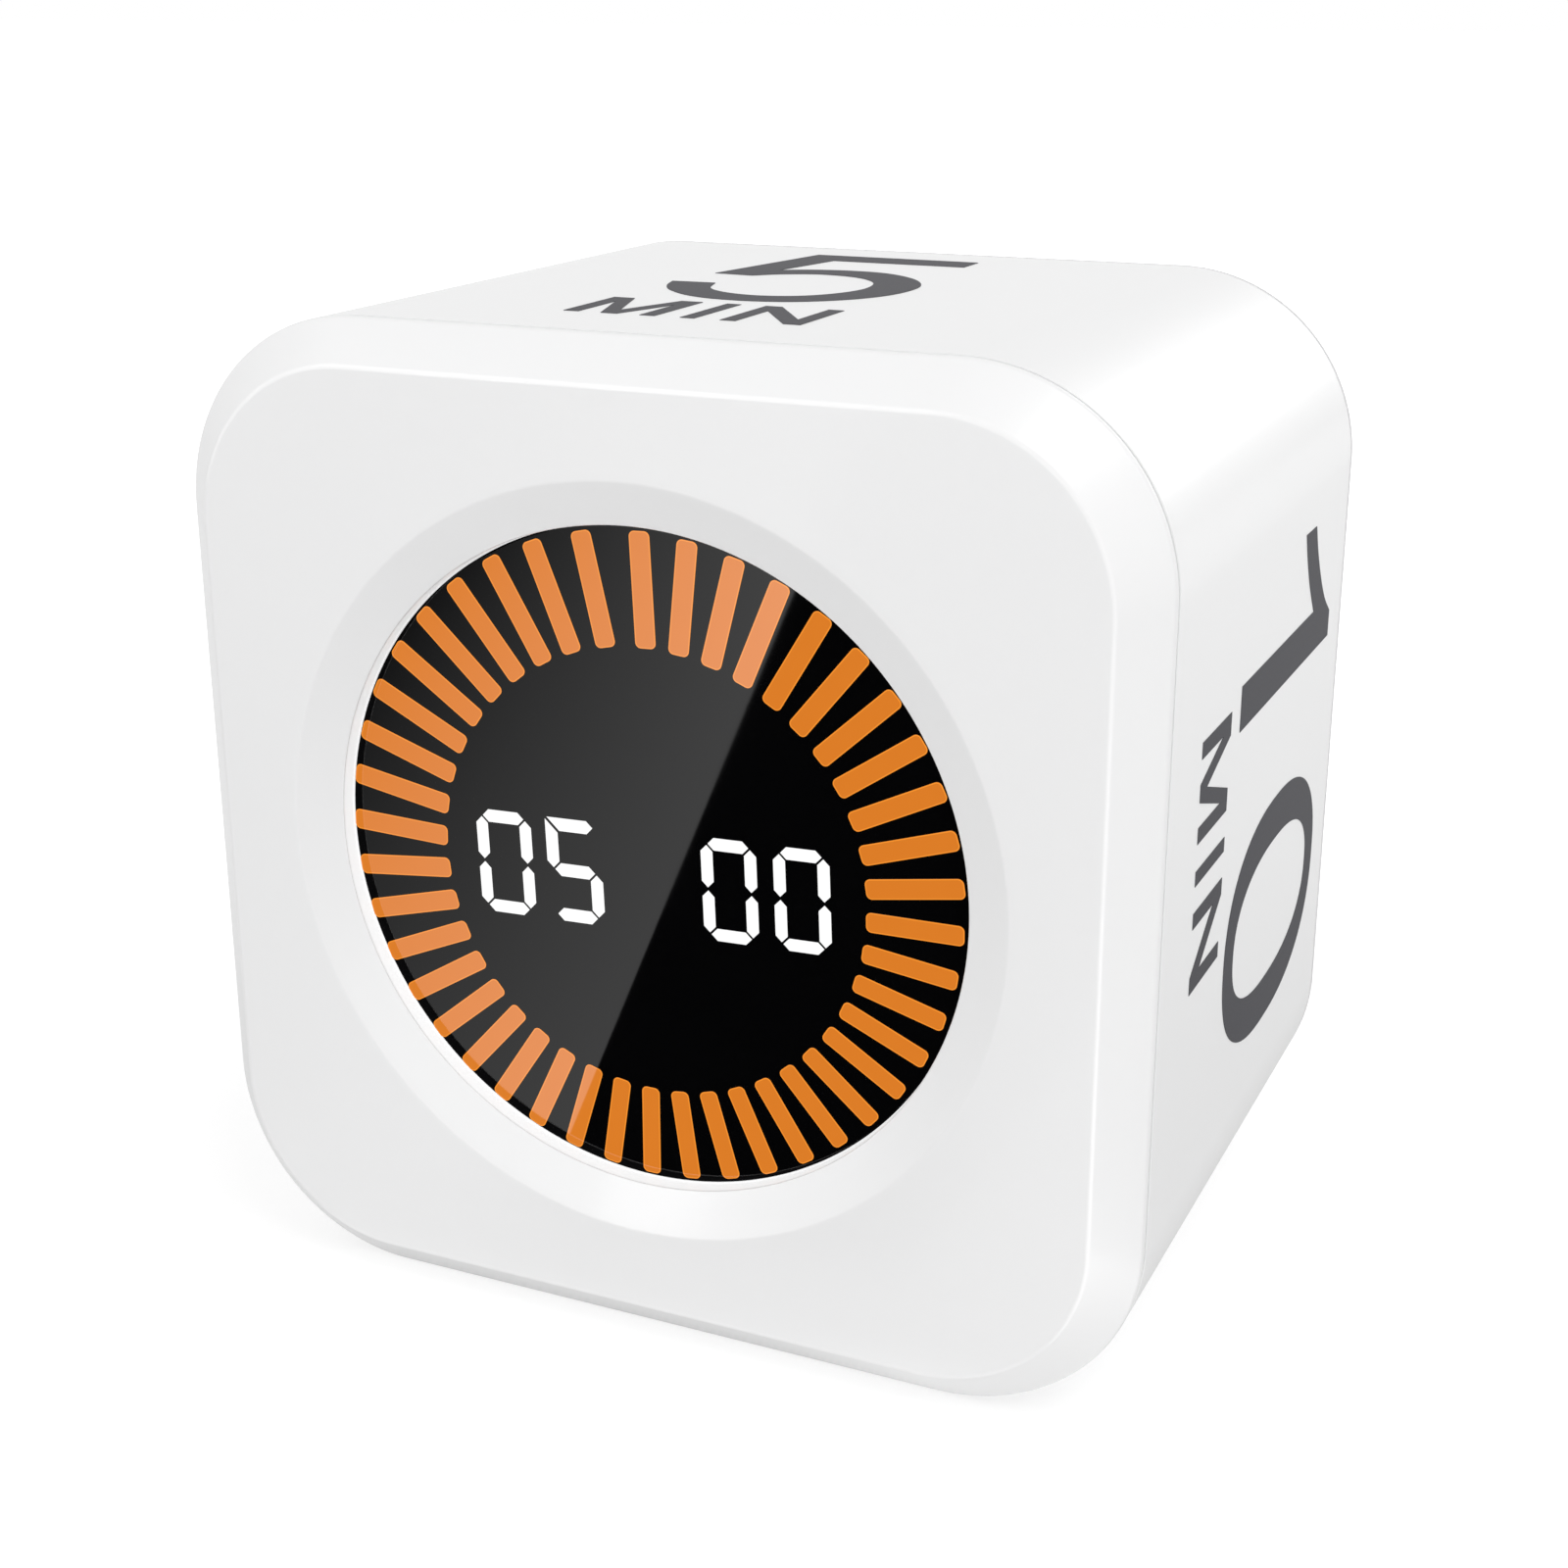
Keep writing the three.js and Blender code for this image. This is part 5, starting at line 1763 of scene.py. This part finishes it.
@dataclass
class Studio:
    """Pale floor, white surroundings, soft lamps and the card that the window mirrors.

    Attributes:
        ambient: Strength of the surroundings as a light.
        floor_half: Half the floor's side.
        floor_drop: How far the floor lies below the timer's foot.
        floor_paint: Brightness of the floor's paint.
        floor_glow: Share of the floor that is plain white to the camera, beside the timer and far from it.
        floor_light: Strength of that white in mirrors, and what the camera sees more of it.
        floor_fade: Distance at which the share changes, and how softly.
        card: Left, far, right and near side of the card in front of the window.
        card_edge: The nearest and the farthest point of the wedge's edge.
        card_softness: Softness of that edge.
        card_fade: Brightness of the wedge at zero and its change along each axis.
        card_least: Its least brightness.
    """

    ambient: float = 0.56
    floor_half: float = 3000
    floor_drop: float = 0.02
    floor_paint: float = 0.6
    floor_glow: Point = (0.45, 0.8)
    floor_light: Point = (1.05, 0.62)
    floor_fade: Point = (75, 35)
    card: tuple[float, float, float, float] = (-400, -900, 12, -39)
    card_edge: tuple[Point, Point] = ((-17.95, -42.4), (-71.0, -202.4))
    card_softness: float = 0.001
    card_fade: Place = (1.12, 0.0228, -0.0094)
    card_least: float = 0.15
    strips: tuple[Strip, ...] = (
        Strip("front", ((28, -26, 0.2), (50, -29, 0.2), (115, -104, 0.2), (115, -285, 0.2)), 3.6),
        Strip("back", ((84, 110, 0.2), (420, 110, 0.2), (420, 900, 0.2), (84, 900, 0.2)), 1.22),
        Strip("top", ((-420, -290, 330), (-150, -430, 330), (-150, -300, 500), (-420, -160, 500)), 3.2),
        Strip("corner", ((2, -30, 0.2), (50, -29, 0.2), (47, -19.5, 0.2), (2, -18.5, 0.2)), 0.78, 2.2),
        Strip("sill", ((-44, -30, 0.2), (2, -30, 0.2), (2, -10, 0.2), (-60, -10, 0.2)), 0.78),
        Strip("line", ((-28, -28, 0.3), (28, -28, 0.3), (28, -24.6, 0.3), (-28, -24.6, 0.3)), 1.8, 2.2),
    )
    lamps: tuple[Lamp, ...] = (
        Lamp("key_lamp", (330, -230, 560), 260, 1.1),
        Lamp("front_lamp", (60, -650, 120), 420, 0.3, False),
        Lamp("low_lamp", (0, -600, 30), 200, 0.3, False),
        Lamp("side_lamp", (420, -420, 40), 260, 0.9, False),
        Lamp("rim_lamp", (260, 560, 330), 460, 1),
        Lamp("edge_lamp", (-290, -560, 200), 160, 0.36),
        Lamp("left_lamp", (-520, -260, 160), 380, 0.42),
        Lamp("back_lamp", (-320, 620, 120), 420, 0.9, False),
    )

    def build(self) -> None:
        """Builds floor, surroundings, card, strips and lamps."""
        self.build_surroundings()
        self.build_floor()
        self.build_card()
        for strip in self.strips:
            nodes = self.mirrored_sheet(f"mirror_strip_{strip.place}", strip.corners)
            nodes.end(nodes.emission(strip.strength(nodes)))
        for lamp in self.lamps:
            lamp.build()
        bpy.context.scene.view_settings.view_transform = "Standard"

    def build_surroundings(self) -> None:
        """Makes the white surroundings."""
        world = bpy.data.worlds.new("studio")
        world.use_nodes = True
        nodes = Nodes(world.node_tree)
        strength = self.ambient + (1 - self.ambient) * nodes.glossy_view()
        light = nodes.add("ShaderNodeBackground", inputs={"Color": (1, 1, 1, 1), "Strength": strength})
        nodes.end(light, "ShaderNodeOutputWorld")
        bpy.context.scene.world = world

    def sheet(self, name: str, corners: Sequence[Place]) -> tuple[bpy.types.Object, Nodes]:
        """Lays one flat sheet of the studio.

        Args:
            name: Its name.
            corners: Its corners in millimetres.

        Returns:
            The sheet and the nodes of its material.
        """
        data = bpy.data.meshes.new(name)
        data.from_pydata([Vector(corner) * MILLIMETRE for corner in corners], [], [range(len(corners))])
        material = bpy.data.materials.new(name)
        material.use_nodes = True
        data.materials.append(material)
        thing = bpy.data.objects.new(name, data)
        bpy.context.scene.collection.objects.link(thing)
        return thing, Nodes(material.node_tree)

    def mirrored_sheet(self, name: str, corners: Sequence[Place]) -> Nodes:
        """Hangs a sheet that only glossy surfaces see.

        Args:
            name: Its name.
            corners: Its corners in millimetres.

        Returns:
            The nodes of its material.
        """
        thing, nodes = self.sheet(name, corners)
        thing.visible_camera = False
        thing.visible_diffuse = False
        thing.visible_transmission = False
        thing.visible_shadow = False
        return nodes

    def build_floor(self) -> None:
        """Lays the pale floor, which keeps the timer's shadow."""
        half, drop = self.floor_half, self.floor_drop
        corners = [(x * half, y * half, -drop) for x, y in ((-1, -1), (1, -1), (1, 1), (-1, 1))]
        _, nodes = self.sheet("studio_floor", corners)
        paint = nodes.add("ShaderNodeBsdfDiffuse", inputs={"Color": (*[self.floor_paint] * 3, 1)})
        mirrored, more = self.floor_light
        glow = nodes.emission(mirrored + more * nodes.add("ShaderNodeLightPath", output="Is Camera Ray"))
        length = nodes.add("ShaderNodeVectorMath", {"operation": "LENGTH"}, {0: nodes.point()}, "Value")
        near, far = self.floor_glow
        away = nodes.step(length / MILLIMETRE, *self.floor_fade)
        share = (near + (far - near) * away) * nodes.glossy_view()
        nodes.end(nodes.add("ShaderNodeMixShader", inputs={0: share, 1: paint, 2: glow}))

    def build_card(self) -> None:
        """Lays the card in front of the window: black, with a grey wedge that fades to the left."""
        left, far, right, near = self.card
        corners = [(left, far, 0.1), (right, far, 0.1), (right, near, 0.1), (left, near, 0.1)]
        nodes = self.mirrored_sheet("mirror_card", corners)
        x, y = nodes.along("X"), nodes.along("Y")
        (near_x, near_y), (far_x, far_y) = self.card_edge
        slope = (far_x - near_x) / (far_y - near_y)
        beyond = (near_x + slope * (y - near_y) - x) / (0 - y)
        level, by_x, by_y = self.card_fade
        fade = nodes.sum("MAXIMUM", level + by_x * x + by_y * y, self.card_least)
        nodes.end(nodes.emission(nodes.step(beyond, 0, self.card_softness) * fade))


@dataclass
class PhotoCamera:
    """Camera at the photograph's place.

    Attributes:
        place: Its place in millimetres.
        turn: Rotation from the object's frame to the view, as an axis times an angle.
        lens: Focal length in millimetres for the frame's width.
        frame_width: Width of the frame in millimetres.
        clip: Nearest and farthest distance in metres that it sees.
    """

    place: Place = (63.748, -141.884, 83.856)
    turn: Place = (1.8707, 0.4044, -0.2918)
    lens: float = 54.66
    frame_width: float = 36
    clip: Point = (0.01, 20)

    def build(self) -> None:
        """Sets the camera up."""
        data = bpy.data.cameras.new("photo_camera")
        data.sensor_width = self.frame_width
        data.lens = self.lens
        data.clip_start, data.clip_end = self.clip
        thing = bpy.data.objects.new("photo_camera", data)
        axis = Vector(self.turn)
        view = Matrix.Rotation(axis.length, 3, axis.normalized()).transposed()
        facing = (view @ Matrix.Diagonal((1, -1, -1))).to_4x4()
        thing.matrix_world = Matrix.Translation(Vector(self.place) * MILLIMETRE) @ facing
        bpy.context.scene.collection.objects.link(thing)
        bpy.context.scene.camera = thing


def main() -> None:
    """Builds the camera, the studio and the timer."""
    logging.basicConfig(level=logging.INFO, format="%(message)s")
    PhotoCamera().build()
    Studio().build()
    FrontCover().build()
    BodySleeve().build()
    RearCover().build()
    DisplayLens().build()
    LitDial().build()
    PresetMarks().build()
    PanelMarks().build()
    PushButton(Body.MINUTE_BUTTON, PANEL.button_place).build()
    PushButton(Body.SECOND_BUTTON, -PANEL.button_place).build()
    SwitchKnob().build()
    UsbSocket().build()
    CoverScrews().build()
    InnerPieces().dress()
    bpy.context.view_layer.update()


if __name__ == "__main__":
    main()
